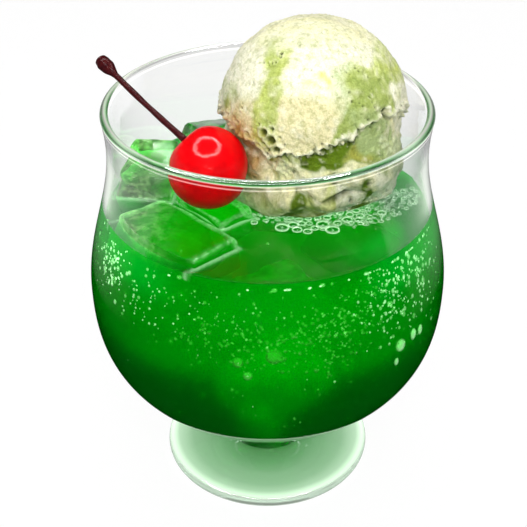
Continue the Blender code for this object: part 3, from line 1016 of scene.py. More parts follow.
    skirt_marbling: tuple[Vein, ...] = (
        Vein(Tint.CREAM, (-2.0, 2.0), (-2.0, 1.0), 0.80),
        Vein(Tint.YELLOW, (-0.70, 0.90), (-1.20, 1.0), 0.30),
        Vein(Tint.OLIVE, (-0.66, -0.40), (-0.56, -0.38), 1.10, 0.05),
        Vein(Tint.LEAF, (-0.42, -0.10), (-0.54, -0.40), 0.55),
        Vein(Tint.MOSS, (-0.10, 0.40), (-0.62, -0.38), 2.0, 0.05),
        Vein(Tint.LEAF, (0.34, 0.66), (-0.62, -0.36), 2.0),
        Vein(Tint.OLIVE, (0.34, 0.52), (-0.62, -0.46), 1.10, 0.05),
        Vein(Tint.GREY_GREEN, (0.42, 0.80), (-0.50, -0.04), 1.30),
        Vein(Tint.PALE_GREEN, (0.72, 0.96), (-0.60, -0.30), 1.20, 0.05),
        Vein(Tint.CREAM, (0.56, 1.00), (-1.10, -0.62), 1.40, 0.05),
        Vein(Tint.LEAF, (-0.60, -0.34), (-1.0, -0.78), 0.50),
        Vein(Tint.MOSS, (-0.26, -0.08), (-1.10, -0.86), 1.40, 0.04),
        Vein(Tint.LIME, (-0.08, 0.22), (-1.10, -0.78), 0.60),
        Vein(Tint.OLIVE, (0.00, 0.18), (-1.10, -0.95), 0.80, 0.04),
        Vein(Tint.CREAM, (0.18, 0.36), (-1.10, -0.78), 1.40, 0.04),
        Vein(Tint.MOSS, (0.38, 0.52), (-1.10, -0.76), 1.60, 0.05),
    )
    finish: MarbledCream = MarbledCream()

    def ridge_at(self, azimuth: np.ndarray) -> np.ndarray:
        """Elevation of the broken edge, joined by straight lines between its named places."""
        places, levels = np.array(self.ridge, float).T
        return np.interp(azimuth, places, levels)

    def below_ridge(
        self, way: np.ndarray, azimuth: np.ndarray, elevation: np.ndarray, fine: bool
    ) -> np.ndarray:
        """Degrees below the broken edge, which is torn by a random field where the form is fine."""
        torn = self.tear.at(way) + self.fine_tear.at(way) if fine else 0.0
        return self.ridge_at(azimuth) + torn - elevation

    def reach(self, way: np.ndarray, fine: bool) -> np.ndarray:
        """Distance from the centre to the surface along unit directions.

        A superellipsoid, round above and squarer below, with a ledge under the broken edge, lumps, a
        hollow, a tucked-in foot and cracks as bells over angle, and random fields. The fine form adds
        torn flakes, grain and pits.

        Args:
            way: Unit directions from the scoop's centre.
            fine: Whether the small forms are added.

        Returns:
            The distances.
        """
        azimuth = np.degrees(np.arctan2(way[..., 1], way[..., 0]))
        elevation = np.degrees(np.arcsin(np.clip(way[..., 2], -1.0, 1.0)))
        flat, rise = np.hypot(way[..., 0], way[..., 1]), np.abs(way[..., 2])
        square = 2.0 + (self.squareness - 2.0) * smoothstep(0.0, self.square_from, -elevation)
        depth = np.where(elevation > 0.0, self.radius, self.depth)
        reach = ((flat / self.radius) ** square + (rise / depth) ** square) ** (-1.0 / square)

        edge, fade_start, fade_end = self.ledge_band
        edge *= self.ledge_share if fine else 1.0
        below = self.below_ridge(way, azimuth, elevation, fine)
        place, width, depth = self.ledge_by_cherry
        ledge = self.ledge + depth * bell(azimuth, place, width)
        kept = 1.0 - smoothstep(fade_start, fade_end, below)
        reach = reach - ledge * smoothstep(0.0, edge, below) * kept
        reach = reach + self.ledge_lip * bell(below, -edge, edge)

        top, full, low, foot = self.skirt_band
        skirt = smoothstep(top, full, elevation) * (1.0 - smoothstep(low, foot, elevation))
        share = self.lump_share if fine else 1.0
        for place, width, height in self.lumps:
            reach = reach + share * height * skirt * bell(azimuth, place, width)
        place, width, depth = self.hollow_by_cherry
        hollow = smoothstep(0.0, full, elevation) * (1.0 - smoothstep(*self.hollow_fade, elevation))
        reach = reach - depth * hollow * bell(azimuth, place, width)
        place, width, depth = self.tuck_in_front
        reach = reach - depth * smoothstep(*self.tuck_rise, elevation) * bell(azimuth, place, width)
        share = self.crack_share if fine else 1.0
        for place, width, level, half_height, depth in self.cracks:
            crack = bell(azimuth, place, width) * bell(elevation, level, half_height * share)
            reach = reach - (0.5 + 0.5 * share) * depth * crack
        reach = reach + skirt * self.rag.at(way) + sum(layer.at(way) for layer in self.crumple)
        return reach + self.fine_relief(way, below, elevation) if fine else reach

    def fine_relief(self, way: np.ndarray, below: np.ndarray, elevation: np.ndarray) -> np.ndarray:
        """Height of the small forms: flakes at the broken edge and on the skirt, grain, and pits.

        A pit is depth * exp(-s^2) with s the angle from its middle over its half width, inside a raised
        rim of a third of that height, another bell over s. All this fades out toward the top.

        Args:
            way: Unit directions from the scoop's centre.
            below: Degrees below the broken edge.
            elevation: Elevation in degrees.

        Returns:
            The heights.
        """
        top, full, low, foot = self.skirt_flake_band
        loss = self.skirt_flake_loss * smoothstep(low, foot, elevation)
        skirt = smoothstep(top, full, elevation) * (1.0 - loss)
        share, place, half_width = self.flakes_at_edge
        at_edge = self.flakes_away + share * bell(below, place, half_width)
        relief = self.flakes.at(way) * at_edge + self.grain.at(way)
        relief = relief + self.skirt_flakes.at(way) * skirt
        draw = np.random.default_rng(self.pit_seed)
        azimuth = draw.uniform(-180.0, 180.0, self.small_pits)
        level = np.degrees(np.arcsin(draw.uniform(self.small_pit_lowest, 1.0, self.small_pits)))
        width = draw.uniform(*self.small_pit_widths, self.small_pits)
        depth = draw.uniform(*self.small_pit_depths, self.small_pits)
        named = np.array(self.pits, float)
        azimuth, level = np.append(azimuth, named[:, 0]), np.append(level, named[:, 1])
        width, depth = np.append(width, named[:, 2]), np.append(depth, named[:, 3])
        azimuth, level = np.radians(azimuth), np.radians(level)
        middles = around(np.cos(level), azimuth, np.sin(level))
        rim_place, rim_width = self.pit_rim
        for middle, half_width, deep in zip(middles, width, depth):
            squared = 2.0 * (1.0 - way @ middle) * (math.degrees(1.0) / half_width) ** 2
            rim = np.exp(-(((np.sqrt(np.maximum(squared, 0.0)) - rim_place) / rim_width) ** 2))
            relief = relief - deep * np.exp(-squared) + deep * rim / 3.0
        return relief * smoothstep(*self.relief_fade, elevation)

    def surface(self, columns: int, rows: int, growth: float, fine: bool) -> np.ndarray:
        """Points of the whole scoop.

        Along each direction the reach stops at the cherry's room, a sphere; then the point is pulled
        in level to the goblet's room.

        Args:
            columns: Points round.
            rows: Rings from pole to pole; they are closer above the drink than under it.
            growth: Extra distance outward from the centre.
            fine: Whether the small forms are added.

        Returns:
            Rings of points for a closed lattice.
        """
        deep = max(rows // 8, 4)
        upper = np.linspace(90.0, self.lowest_fine_ring, rows - deep)
        elevation = np.radians(np.append(upper, np.linspace(self.lowest_fine_ring, -90.0, deep + 1)[1:]))
        way = around(np.cos(elevation)[:, None], full_turn(columns)[None], np.sin(elevation)[:, None])
        reach = self.reach(way, fine)
        to_cherry = np.subtract(self.cherry_centre, self.centre)
        along = way @ to_cherry
        inside = along ** 2 - to_cherry @ to_cherry + self.cherry_room ** 2
        entry = along - np.sqrt(np.maximum(inside, 0.0))
        reach = np.where((inside > 0.0) & (along > 0.0), np.minimum(reach, entry), reach)
        points = np.array(self.centre) + way * reach[..., None]
        away = np.hypot(points[..., 0], points[..., 1])
        limit = self.goblet.room_radius(points[..., 2], self.wall_gap)
        pull = np.where((points[..., 2] < self.goblet.height) & (away > limit), limit / away, 1.0)
        points[..., :2] *= pull[..., None]
        return points + way * growth

    @cache
    def waterline(self, level: float) -> tuple[np.ndarray, np.ndarray]:
        """Outline of the scoop at a height.

        Args:
            level: The height.

        Returns:
            Azimuths about the scoop's centre in degrees, and the distances from it.
        """
        points = self.surface(360, 240, 0.0, True) - np.array(self.centre)
        row = np.argmax(points[..., 2] < level - self.centre[2], axis=0)
        crossing = points[row, np.arange(points.shape[1])]
        azimuth = np.degrees(np.arctan2(crossing[:, 1], crossing[:, 0]))
        order = np.argsort(azimuth)
        return azimuth[order], np.hypot(crossing[:, 0], crossing[:, 1])[order]

    def colours(self, points: np.ndarray) -> np.ndarray:
        """Marbling colour of each point.

        The veins are painted one over the other, on places warped by random fields, and the parts above
        and below the broken edge have veins of their own. Then come a painted highlight on the torn edge
        and on the crests of the relief, painted shade in the pits, in the slit and under the broken edge,
        and the stain by the cherry, which is its own colour.

        Args:
            points: Points of the scoop.

        Returns:
            Linear colours.
        """
        offset = points - np.array(self.centre)
        way = offset / length(offset)[:, None]
        azimuth = np.degrees(np.arctan2(way[:, 1], way[:, 0]))
        elevation = np.degrees(np.arcsin(np.clip(way[:, 2], -1.0, 1.0)))
        below = self.below_ridge(way, azimuth, elevation, True)
        across = sum((layer.at(way) for layer in self.warp_across), way[:, 0])
        up = sum((layer.at(way) for layer in self.warp_up), way @ np.array(self.drinkers_up))
        broken = sum((layer.at(way) for layer in self.breaks), 1.0)
        upper = self.paint_veins(self.marbling, across, up, broken)
        lower = self.paint_veins(self.skirt_marbling, across, up, broken)
        colour = upper + (lower - upper) * smoothstep(*self.seam_band, below)[:, None]

        # Painted highlight on the torn edge, in front
        share, place, width = self.painted_torn_edge_highlight
        colour = self.blend(colour, Tint.CREAM, share * bell(below, place, width) * self.in_front(azimuth))
        relief = self.fine_relief(way, below, elevation)
        # Painted highlight on the crests of the relief, painted shade in the pits
        share, low, high = self.painted_crest_highlight
        colour = self.blend(colour, Tint.CREAM, share * smoothstep(low, high, relief))
        share, low, high = self.painted_pit_shade
        colour = self.blend(colour, Tint.SHADE, share * smoothstep(low, high, relief))
        # Painted shade in the slit of the first crack
        place, width, level, half_height, _ = self.cracks[0]
        share, most, narrow = self.painted_slit_shade
        slit = bell(azimuth, place, width) * bell(elevation, level, narrow * half_height)
        colour = self.blend(colour, Tint.SHADE, np.clip(share * slit * broken, 0.0, most))
        # Painted shadow under the broken edge
        share, place, width = self.painted_shadow_under_edge
        shadow = share * bell(below, place, width) * np.clip(broken, *self.shade_breaks)
        colour = self.blend(colour, Tint.SHADE, shadow)
        share, most, width = self.stain
        from_cherry = length(points - np.array(self.cherry_centre)) - self.cherry_room
        stain = share * np.exp(-((from_cherry / width) ** 2)) * np.clip(broken, *self.stain_breaks)
        return self.blend(colour, Tint.CHERRY_STAIN, np.clip(stain, 0.0, most))

    def in_front(self, azimuth: np.ndarray) -> np.ndarray:
        """Share of the torn edge's painted highlight at an azimuth: all of it in front, none at the back.
        """
        return smoothstep(*self.edge_fade, np.abs(azimuth - self.edge_middle))

    def paint_veins(
        self, veins: tuple[Vein, ...], across: np.ndarray, up: np.ndarray, broken: np.ndarray
    ) -> np.ndarray:
        """Paint veins over cream, each one's cover broken up by a field.

        Args:
            veins: The veins, the first one lowest.
            across: Places across.
            up: Places up.
            broken: Factor on each cover.

        Returns:
            Linear colours.
        """
        colour = np.broadcast_to(np.array(Tint.CREAM.value), (len(across), 3))
        for vein in veins:
            colour = self.blend(colour, vein.tint, np.clip(vein.cover(across, up) * broken, 0.0, 1.0))
        return colour

    @staticmethod
    def blend(colour: np.ndarray, tint: Tint, share: np.ndarray) -> np.ndarray:
        """Colours moved a share of the way to a tint."""
        return colour + (np.array(tint.value) - colour) * share[:, None]

    def build(self) -> bpy.types.Object:
        """Make the scoop, paint its marbling and dress it."""
        points, faces = closed_lattice(self.surface(self.columns, self.rows, 0.0, True))
        thing = make_mesh("scoop", points, faces)
        paint_points(thing, self.finish.paint, self.colours(points))
        return hand_over(thing, self.finish.make(), "marbled_ice_cream", "ice_cream")


# Cherry


@dataclass(frozen=True)
class Cherry:
    """The cherry and its stalk.

    Places along the stalk are shares of its length. The worn end is drawn in over rings that keep a
    share of the last one's size, each a step further along the stalk or, below 0, back into it. The
    stalk's steps are its rings up to closer_from, its rings from there, and its points round.
    """

    centre: Place = CHERRY_CENTRE
    radius: float = 0.00965
    dimple: float = 0.0017
    dimple_width: float = 20.0
    aim: Place = (-0.0060, 0.0030, 0.0055)
    stalk_gap: float = 0.00048
    stalk_end: Place = (-0.0432, 0.0163, 0.1157)
    stalk_radius: float = 0.00078
    knob_radius: float = 0.0019
    knob: Span = (0.80, 0.92)
    bow: float = 0.0005
    flare: Span = (0.0002, 0.05)
    cut: Span = (0.0003, 0.96)
    worn_end: tuple[Span, ...] = ((0.55, 0.00012), (0.30, -0.00025), (0.0, -0.00030))
    closer_from: float = 0.78
    unevenness: WaveField = WaveField(3.2, 0.00007, 61)
    knots: WaveField = WaveField(2600.0, 0.00005, 62)
    knots_band: Span = (0.70, 0.95)
    grain: WaveField = WaveField(900.0, 0.00003, 63)
    steps: tuple[int, int] = (97, 144)
    stalk_steps: tuple[int, int, int] = (60, 50, 28)
    skin: CherrySkin = CherrySkin()
    bark: StalkBark = StalkBark()

    def axes(self) -> np.ndarray:
        """Two directions across the stalk's way and that way itself, as columns."""
        way = np.array(self.aim) / length(np.array(self.aim))
        side = np.cross((0.0, 1.0, 0.0), way)
        side /= length(side)
        return np.stack([side, np.cross(way, side), way], 1)

    def build_fruit(self) -> bpy.types.Object:
        """Make the cherry: radius R - d exp(-(tilt / w)^2) at an angle from the stalk, a little uneven."""
        rows, columns = self.steps
        tilt = np.linspace(0.0, math.pi, rows)[:, None]
        way = around(np.sin(tilt), full_turn(columns)[None], np.cos(tilt))
        dimple = self.dimple * np.exp(-((np.degrees(tilt) / self.dimple_width) ** 2))
        reach = self.radius - dimple + self.unevenness.at(way) * (1.0 - dimple / self.dimple)
        rings = np.array(self.centre) + (way * reach[..., None]) @ self.axes().T
        thing = make_mesh("cherry_fruit", *closed_lattice(rings))
        return hand_over(thing, self.skin.make(), "cherry_skin", "cherry")

    def stalk_thickness(self, share: np.ndarray) -> np.ndarray:
        """Radius along the stalk: slim, flared at its root, with a knob and a worn end.

        Args:
            share: Shares of its length.

        Returns:
            The radii.
        """
        flare = self.flare[0] * np.exp(-share / self.flare[1])
        knob = (self.knob_radius - self.stalk_radius) * smoothstep(*self.knob, share)
        cut = self.cut[0] * smoothstep(self.cut[1], 1.0, share)
        return self.stalk_radius + flare + knob - cut

    def build_stalk(self) -> bpy.types.Object:
        """Carry a circle along the bowed line from the dimple to the knob, closed at both ends."""
        wide, close, columns = self.stalk_steps
        closer = np.linspace(self.closer_from, 1.0, close)[1:]
        share = np.append(np.linspace(0.0, self.closer_from, wide), closer)[:, None]
        aim = self.axes()[:, 2]
        root = np.array(self.centre) + aim * (self.radius - self.dimple + self.stalk_gap)
        line = root + (np.array(self.stalk_end) - root) * share
        line[:, 2] -= self.bow * np.sin(math.pi * share[:, 0])
        way = np.gradient(line, axis=0)
        way /= length(way)[:, None]
        side = np.cross(way, (0.0, 0.0, 1.0))
        side /= length(side)[:, None]
        other = np.cross(side, way)
        angle = full_turn(columns)[None, :, None]
        across = side[:, None] * np.cos(angle) - other[:, None] * np.sin(angle)
        radius = self.stalk_thickness(share)
        rings = line[:, None] + across * radius[..., None]
        rough = self.knots.at(rings) * smoothstep(*self.knots_band, share) + self.grain.at(rings)
        rings = rings + across * rough[..., None]
        start = np.broadcast_to(line[0], rings[:1].shape)
        last = rings[-1] - line[-1]
        worn = [line[-1] + last * kept + way[-1] * step for kept, step in self.worn_end]
        thing = make_mesh("cherry_stalk", *closed_lattice(np.concatenate([start, rings, worn])))
        return hand_over(thing, self.bark.make(), "cherry_stalk", "cherry_stem")


# Ice


@dataclass(frozen=True)
class IceCube:
    """A half-melted ice cube with uneven corners and round edges, kept inside the goblet's room."""

    name: str
    size: Place
    centre: Place
    turn: Place
    seed: int
    inset: float
    node: str = ""
    melt: float = 0.0007
    rounding: float = 0.0016
    wave: float = 0.00016
    wave_frequency: float = 420.0
    fine_frequency: float = 1100.0
    fine_share: float = 0.35
    steps: int = 22
    # Painted light: highlights on the edges, a frosty glow on the left, and a glow under the drink
    painted_edge_highlight: Colour = (0.26, 0.36, 0.24)
    edge_band: Span = (0.84, 0.95)
    painted_frost_light: Colour = (0.20, 0.32, 0.13)
    frost_side: Span = (-0.0200, -0.0330)
    glow_fade: float = 0.003
    painted_sunk_light: Colour = BLACK
    goblet: Goblet = GOBLET

    def rotation(self) -> np.ndarray:
        """The cube's turn as a matrix."""
        return np.array(Euler([math.radians(angle) for angle in self.turn]).to_matrix())

    def melted_corners(self) -> np.ndarray:
        """How far each corner has moved, drawn in the order of the corners' binary numbers."""
        draw = random.Random(self.seed)
        return np.array([[draw.uniform(-self.melt, self.melt) for _ in range(3)] for _ in range(8)])

    def surface(self, growth: float) -> tuple[np.ndarray, Faces]:
        """Points and faces of the cube.

        Each face is a grid. A grid point's nearest point in a smaller box is kept, and the rest is the
        rounding, a sphere's radius along the way out. The corners' moves are shared out between them by
        distance along each edge, a random field ripples the faces, and points outside the room are
        pulled in level.

        Args:
            growth: Extra distance outward, negative for a smaller cube.

        Returns:
            The points and faces, with the seams closed.
        """
        half = 0.5 * np.array(self.size)
        bend = self.rounding * np.tan(np.radians(np.linspace(45.0, 0.0, 6)))
        grids, faces, start = [], [], 0
        for axis in range(3):
            second, third = (axis + 1) % 3, (axis + 2) % 3
            lines = []
            for other in (second, third):
                flat = half[other] - self.rounding
                middle = np.linspace(-flat, flat, self.steps + 1)[1:-1]
                lines.append(np.concatenate([-flat - bend, middle, (flat + bend)[::-1]]))
            for sign in (-1.0, 1.0):
                grid = np.empty((len(lines[0]), len(lines[1]), 3))
                grid[..., axis] = sign * half[axis]
                grid[..., second] = lines[0][:, None]
                grid[..., third] = lines[1][None]
                rows, columns = grid.shape[:2]
                index = start + np.arange(rows * columns).reshape(rows, columns)
                corners = [index[:-1, :-1], index[1:, :-1], index[1:, 1:], index[:-1, 1:]]
                faces.append(np.stack(corners if sign > 0 else corners[::-1], -1).reshape(-1, 4))
                grids.append(grid.reshape(-1, 3))
                start += rows * columns
        points, faces = np.concatenate(grids), np.concatenate(faces)
        places = np.round(points * 1e7).astype(np.int64)
        _, first, merged = np.unique(places, axis=0, return_index=True, return_inverse=True)
        points, faces = points[first], merged.reshape(-1)[faces]

        inner = np.clip(points, self.rounding - half, half - self.rounding)
        out = (points - inner) / length(points - inner)[:, None]
        share = np.clip(0.5 + 0.5 * points / half, 0.0, 1.0)
        shift = np.zeros_like(points)
        for corner, move in enumerate(self.melted_corners()):
            bits = np.array([corner >> 2 & 1, corner >> 1 & 1, corner & 1])
            shift += np.prod(np.where(bits, share, 1.0 - share), 1)[:, None] * move
        ripple = WaveField(self.wave_frequency, self.wave, self.seed + 100).at(points)
        fine = WaveField(self.fine_frequency, self.fine_share * self.wave, self.seed + 200)
        ripple = ripple + fine.at(points)
        points = inner + out * (self.rounding + growth + ripple)[:, None] + shift
        points = points @ self.rotation().T + np.array(self.centre)
        away = np.hypot(points[:, 0], points[:, 1])
        limit = self.goblet.room_radius(points[:, 2], self.inset - growth)
        points[:, :2] *= np.minimum(limit / away, 1.0)[:, None]
        return points, faces.tolist()

    def wet_below(self, thing: bpy.types.Object, level: float) -> None:
        """Cut the faces of the cube at the drink's edge, and store where light bends how.

        Args:
            thing: The cube.
            level: Height of the drink's edge on the ice.
        """
        work = bmesh.new()
        work.from_mesh(thing.data)
        bmesh.ops.bisect_plane(
            work, geom=[*work.verts, *work.edges, *work.faces], dist=1e-7,
            plane_co=(0.0, 0.0, level), plane_no=(0.0, 0.0, 1.0),
        )
        work.to_mesh(thing.data)
        work.free()
        thing.data.shade_smooth()
        middles = np.empty(3 * len(thing.data.polygons), np.float32)
        thing.data.polygons.foreach_get("center", middles)
        set_faces(thing, BENDING, np.where(middles[2::3] < level, ICE_INDEX / SODA_INDEX, ICE_INDEX))
        # Painted light at the ice's points
        paint_points(thing, PAINTED_LIGHT, self.painted_light_at(points_of(thing.data), level))

    def painted_light_at(self, points: np.ndarray, level: float) -> np.ndarray:
        """Painted light: edge highlights and a frosty glow on the left above the drink, even under it.

        Args:
            points: Points of the cube.
            level: Height of the drink's edge on the ice.

        Returns:
            Linear colours.
        """
        local = np.abs((points - np.array(self.centre)) @ self.rotation()) / (0.5 * np.array(self.size))
        near_edge = smoothstep(*self.edge_band, np.sort(local, axis=1)[:, 1])
        above = smoothstep(level - self.glow_fade, level, points[:, 2])
        frost = smoothstep(*self.frost_side, points[:, 0])
        glow = near_edge[:, None] * np.array(self.painted_edge_highlight) + frost[:, None] * np.array(self.painted_frost_light)
        return above[:, None] * glow + (1.0 - above)[:, None] * np.array(self.painted_sunk_light)

    def plan_distance(self, points: np.ndarray, level: float) -> np.ndarray:
        """Distance outside the cube at a level, negative inside.

        Args:
            points: Points (x, y).
            level: Their height.

        Returns:
            The distances.
        """
        place = np.concatenate([points, np.full((*points.shape[:-1], 1), level)], -1)
        local = np.abs((place - np.array(self.centre)) @ self.rotation()) - 0.5 * np.array(self.size)
        return length(np.maximum(local, 0.0)) + np.minimum(local.max(-1), 0.0)

    def build(self, material: bpy.types.Material, level: float) -> bpy.types.Object:
        """Make the cube, wet up to a level, and dress it in the ice's material."""
        thing = make_mesh(self.name, *self.surface(0.0))
        self.wet_below(thing, level)
        nodes = (self.node,) if self.node else ()
        return hand_over(thing, material, "ice", *nodes)


# Drink, foam and bubbles


@dataclass(frozen=True)
class Drink:
    """The soda, from a little inside the glass wall to the ice and the scoop that lie in it."""

    scoop: Scoop
    afloat: tuple[IceCube, ...]
    sunk: tuple[IceCube, ...]
    goblet: Goblet = GOBLET
    level: float = 0.0846
    into_wall: float = 0.0003
    into_ice: float = 0.00015
    into_scoop: float = 0.0004
    climb_width: float = 0.0012
    climb_ice: float = 0.0006
    climb_ice_width: float = 0.0009
    swell: WaveField = WaveField(190.0, 0.00007, 71)
    ripple: WaveField = WaveField(620.0, 0.00002, 72)
    columns: int = 320
    surface_rings: int = 120
    side_rings: int = 40
    floor_rings: int = 56
    crowding: float = 1.15
    sharp_angle: float = 38.0
    edge_shade_in_drink: float = 0.35
    skin: Span = (0.0012, 0.0006)
    # Painted light at both sides near the top, and a painted highlight line round the ice
    painted_side_light: Colour = (0.0, 0.16, 0.016)
    side_band: Span = (0.45, 0.85)
    side_depth: Span = (0.012, 0.003)
    side_reach: Span = (0.030, 0.036)
    painted_ice_highlight: Colour = (0.22, 0.30, 0.22)
    painted_ice_highlight_width: float = 0.0005
    # The drink's emission is painted light, and at_edge gives it a painted shade where it is seen edge-on
    finish: ClearSolid = ClearSolid(
        "green_soda", SODA_INDEX, (300.0, 9.6, 340.0), (0.0, 0.030, 0.0012), True, at_edge=0.50
    )

    def surface_height(self, points: np.ndarray) -> np.ndarray:
        """Height of the drink's surface.

        The level, plus a climb h exp(-d / w) at a distance d from the scoop and each piece of ice, plus
        random ripples. All this fades out by the glass, where the climb reaches the goblet's wet line.

        Args:
            points: Points (x, y).

        Returns:
            The heights.
        """
        reach = self.goblet.room_radius(np.array(self.goblet.wet_line))
        to_wall = reach - np.hypot(points[..., 0], points[..., 1])
        at_wall = np.exp(-np.maximum(to_wall, 0.0) / self.climb_width)
        height = np.zeros(points.shape[:-1])
        azimuths, radii = self.scoop.waterline(self.level)
        offset = points - np.array(self.scoop.centre[:2])
        angle = np.degrees(np.arctan2(offset[..., 1], offset[..., 0]))
        gaps = [np.hypot(offset[..., 0], offset[..., 1]) - np.interp(angle, azimuths, radii, period=360.0)]
        gaps += [cube.plan_distance(points, self.level) for cube in self.afloat]
        for gap in gaps:
            height = height + self.climb_ice * np.exp(-np.maximum(gap, 0.0) / self.climb_ice_width)
        flat = np.concatenate([points, np.zeros((*points.shape[:-1], 1))], -1)
        height = height + self.swell.at(flat) + self.ripple.at(flat)
        return self.level + (self.goblet.wet_line - self.level) * at_wall + height * (1.0 - at_wall)

    def body(self) -> tuple[np.ndarray, Faces]:
        """The drink before it is cut round its contents: its surface, then its side down to the floor."""
        angles = full_turn(self.columns)
        edge = float(self.goblet.room_radius(np.array(self.goblet.wet_line)))
        share = np.linspace(0.0, 1.0, self.surface_rings)
        radii = np.append(edge * (1.0 - (1.0 - share) ** self.crowding), edge + self.into_wall)
        flat = np.stack([radii[:, None] * np.cos(angles), radii[:, None] * np.sin(angles)], -1)
        surface = np.concatenate([flat, self.surface_height(flat)[..., None]], -1)
        surface[0] = surface[0].mean(0)
        down = np.linspace(1.0, 0.0, self.side_rings + 1)[1:, None]
        heights = self.goblet.belly_height + (surface[-1, :, 2] - self.goblet.belly_height) * down
        inset, floor = self.goblet.wall - self.into_wall, self.goblet.floor - self.into_wall
        upper = around(self.goblet.upper_wall(heights, inset), angles[None], heights)
        low = self.goblet.lower_bowl(inset, floor, self.floor_rings)[-2::-1]
        lower = around(low[:, :1], angles[None], low[:, 1:])
        return closed_lattice(np.concatenate([surface, upper, lower]))

    def painted_light_at(self, points: np.ndarray) -> np.ndarray:
        """Painted light, standing in for the light that the drink scatters back.

        Even at the glass and the air and none at what is sunk in the drink, more by the glass at both
        sides near the top, and a painted highlight line round the ice that stands out of it.

        Args:
            points: Points of the drink's surface.

        Returns:
            Linear colours.
        """
        away = np.hypot(points[:, 0], points[:, 1])
        deep = self.level - points[:, 2]
        at_glass = smoothstep(*self.skin, self.goblet.room_radius(points[:, 2]) - away)
        at_air = smoothstep(*self.skin, deep)
        gap = np.min([cube.plan_distance(points[:, :2], self.level) for cube in self.afloat], axis=0)
        line = at_air * np.exp(-((gap / self.painted_ice_highlight_width) ** 2))
        side = smoothstep(*self.side_band, np.abs(points[:, 0]) / np.maximum(away, 1e-6))
        side = side * smoothstep(*self.side_depth, deep) * smoothstep(*self.side_reach, away)
        glow = np.maximum(at_glass, at_air)[:, None] * np.array(self.finish.glow)
        return glow + side[:, None] * np.array(self.painted_side_light) + line[:, None] * np.array(self.painted_ice_highlight)

    def cut_rooms(self, thing: bpy.types.Object) -> None:
        """Cut the scoop and the ice out of the drink, and round off what the cuts leave.

        Args:
            thing: The drink before it is cut.
        """
        cutters = bpy.data.collections.new("cutters")
        shapes = [("scoop_room", closed_lattice(self.scoop.surface(160, 110, -self.into_scoop, False)))]
        for cube in (*self.afloat, *self.sunk):
            shapes.append((cube.name + "_room", cube.surface(-self.into_ice)))
        for name, shape in shapes:
            cutter = make_mesh(name, *shape)
            set_faces(cutter, BENDING, np.full(len(shape[1]), NO_BENDING))
            # Faces round the rooms take only a share of the painted edge shade
            set_faces(cutter, PAINTED_EDGE_SHADE, np.full(len(shape[1]), self.edge_shade_in_drink))
            cutters.objects.link(cutter)
        cut = thing.modifiers.new("rooms", "BOOLEAN")
        cut.operation, cut.solver = "DIFFERENCE", "MANIFOLD"
        cut.operand_type, cut.collection = "COLLECTION", cutters
        bpy.context.view_layer.update()
        whole = thing.evaluated_get(bpy.context.evaluated_depsgraph_get())
        mesh = bpy.data.meshes.new_from_object(whole)
        thing.modifiers.clear()
        thing.data = mesh
        for cutter in list(cutters.objects):
            bpy.data.objects.remove(cutter, do_unlink=True)
        bpy.data.collections.remove(cutters)
        mesh.shade_smooth()
        mesh.set_sharp_from_angle(angle=math.radians(self.sharp_angle))

    def build(self) -> bpy.types.Object:
        """Make the drink, cut it round the scoop and the ice, and dress it."""
        thing = make_mesh("soda", *self.body())
        at_air = np.arange(len(thing.data.polygons)) < self.columns * (self.surface_rings - 1)
        set_faces(thing, BENDING, np.where(at_air, SODA_INDEX, NO_BENDING))
        # The drink's own faces take the whole painted edge shade
        set_faces(thing, PAINTED_EDGE_SHADE, np.ones(len(at_air)))
        self.cut_rooms(thing)
        # Painted light on the drink's surface
        paint_points(thing, PAINTED_LIGHT, self.painted_light_at(points_of(thing.data)))
        return hand_over(thing, self.finish.make(), "green_soda", "drink")


class Home(Enum):
    """Where a swarm of bubbles is."""

    WALL = "on the glass"
    OPEN = "in the open drink"


@dataclass(frozen=True)
class Swarm:
    """Bubbles that gather round one place, given by azimuth in degrees and height.

    sizes are the least and the greatest radius, flat is a bubble's height over its width, and shine is
    how much it catches the light.
    """

    home: Home
    azimuth: float
    height: float
    spread: Span
    count: int
    sizes: Span
    flat: float = 1.0
    shine: float = 1.0


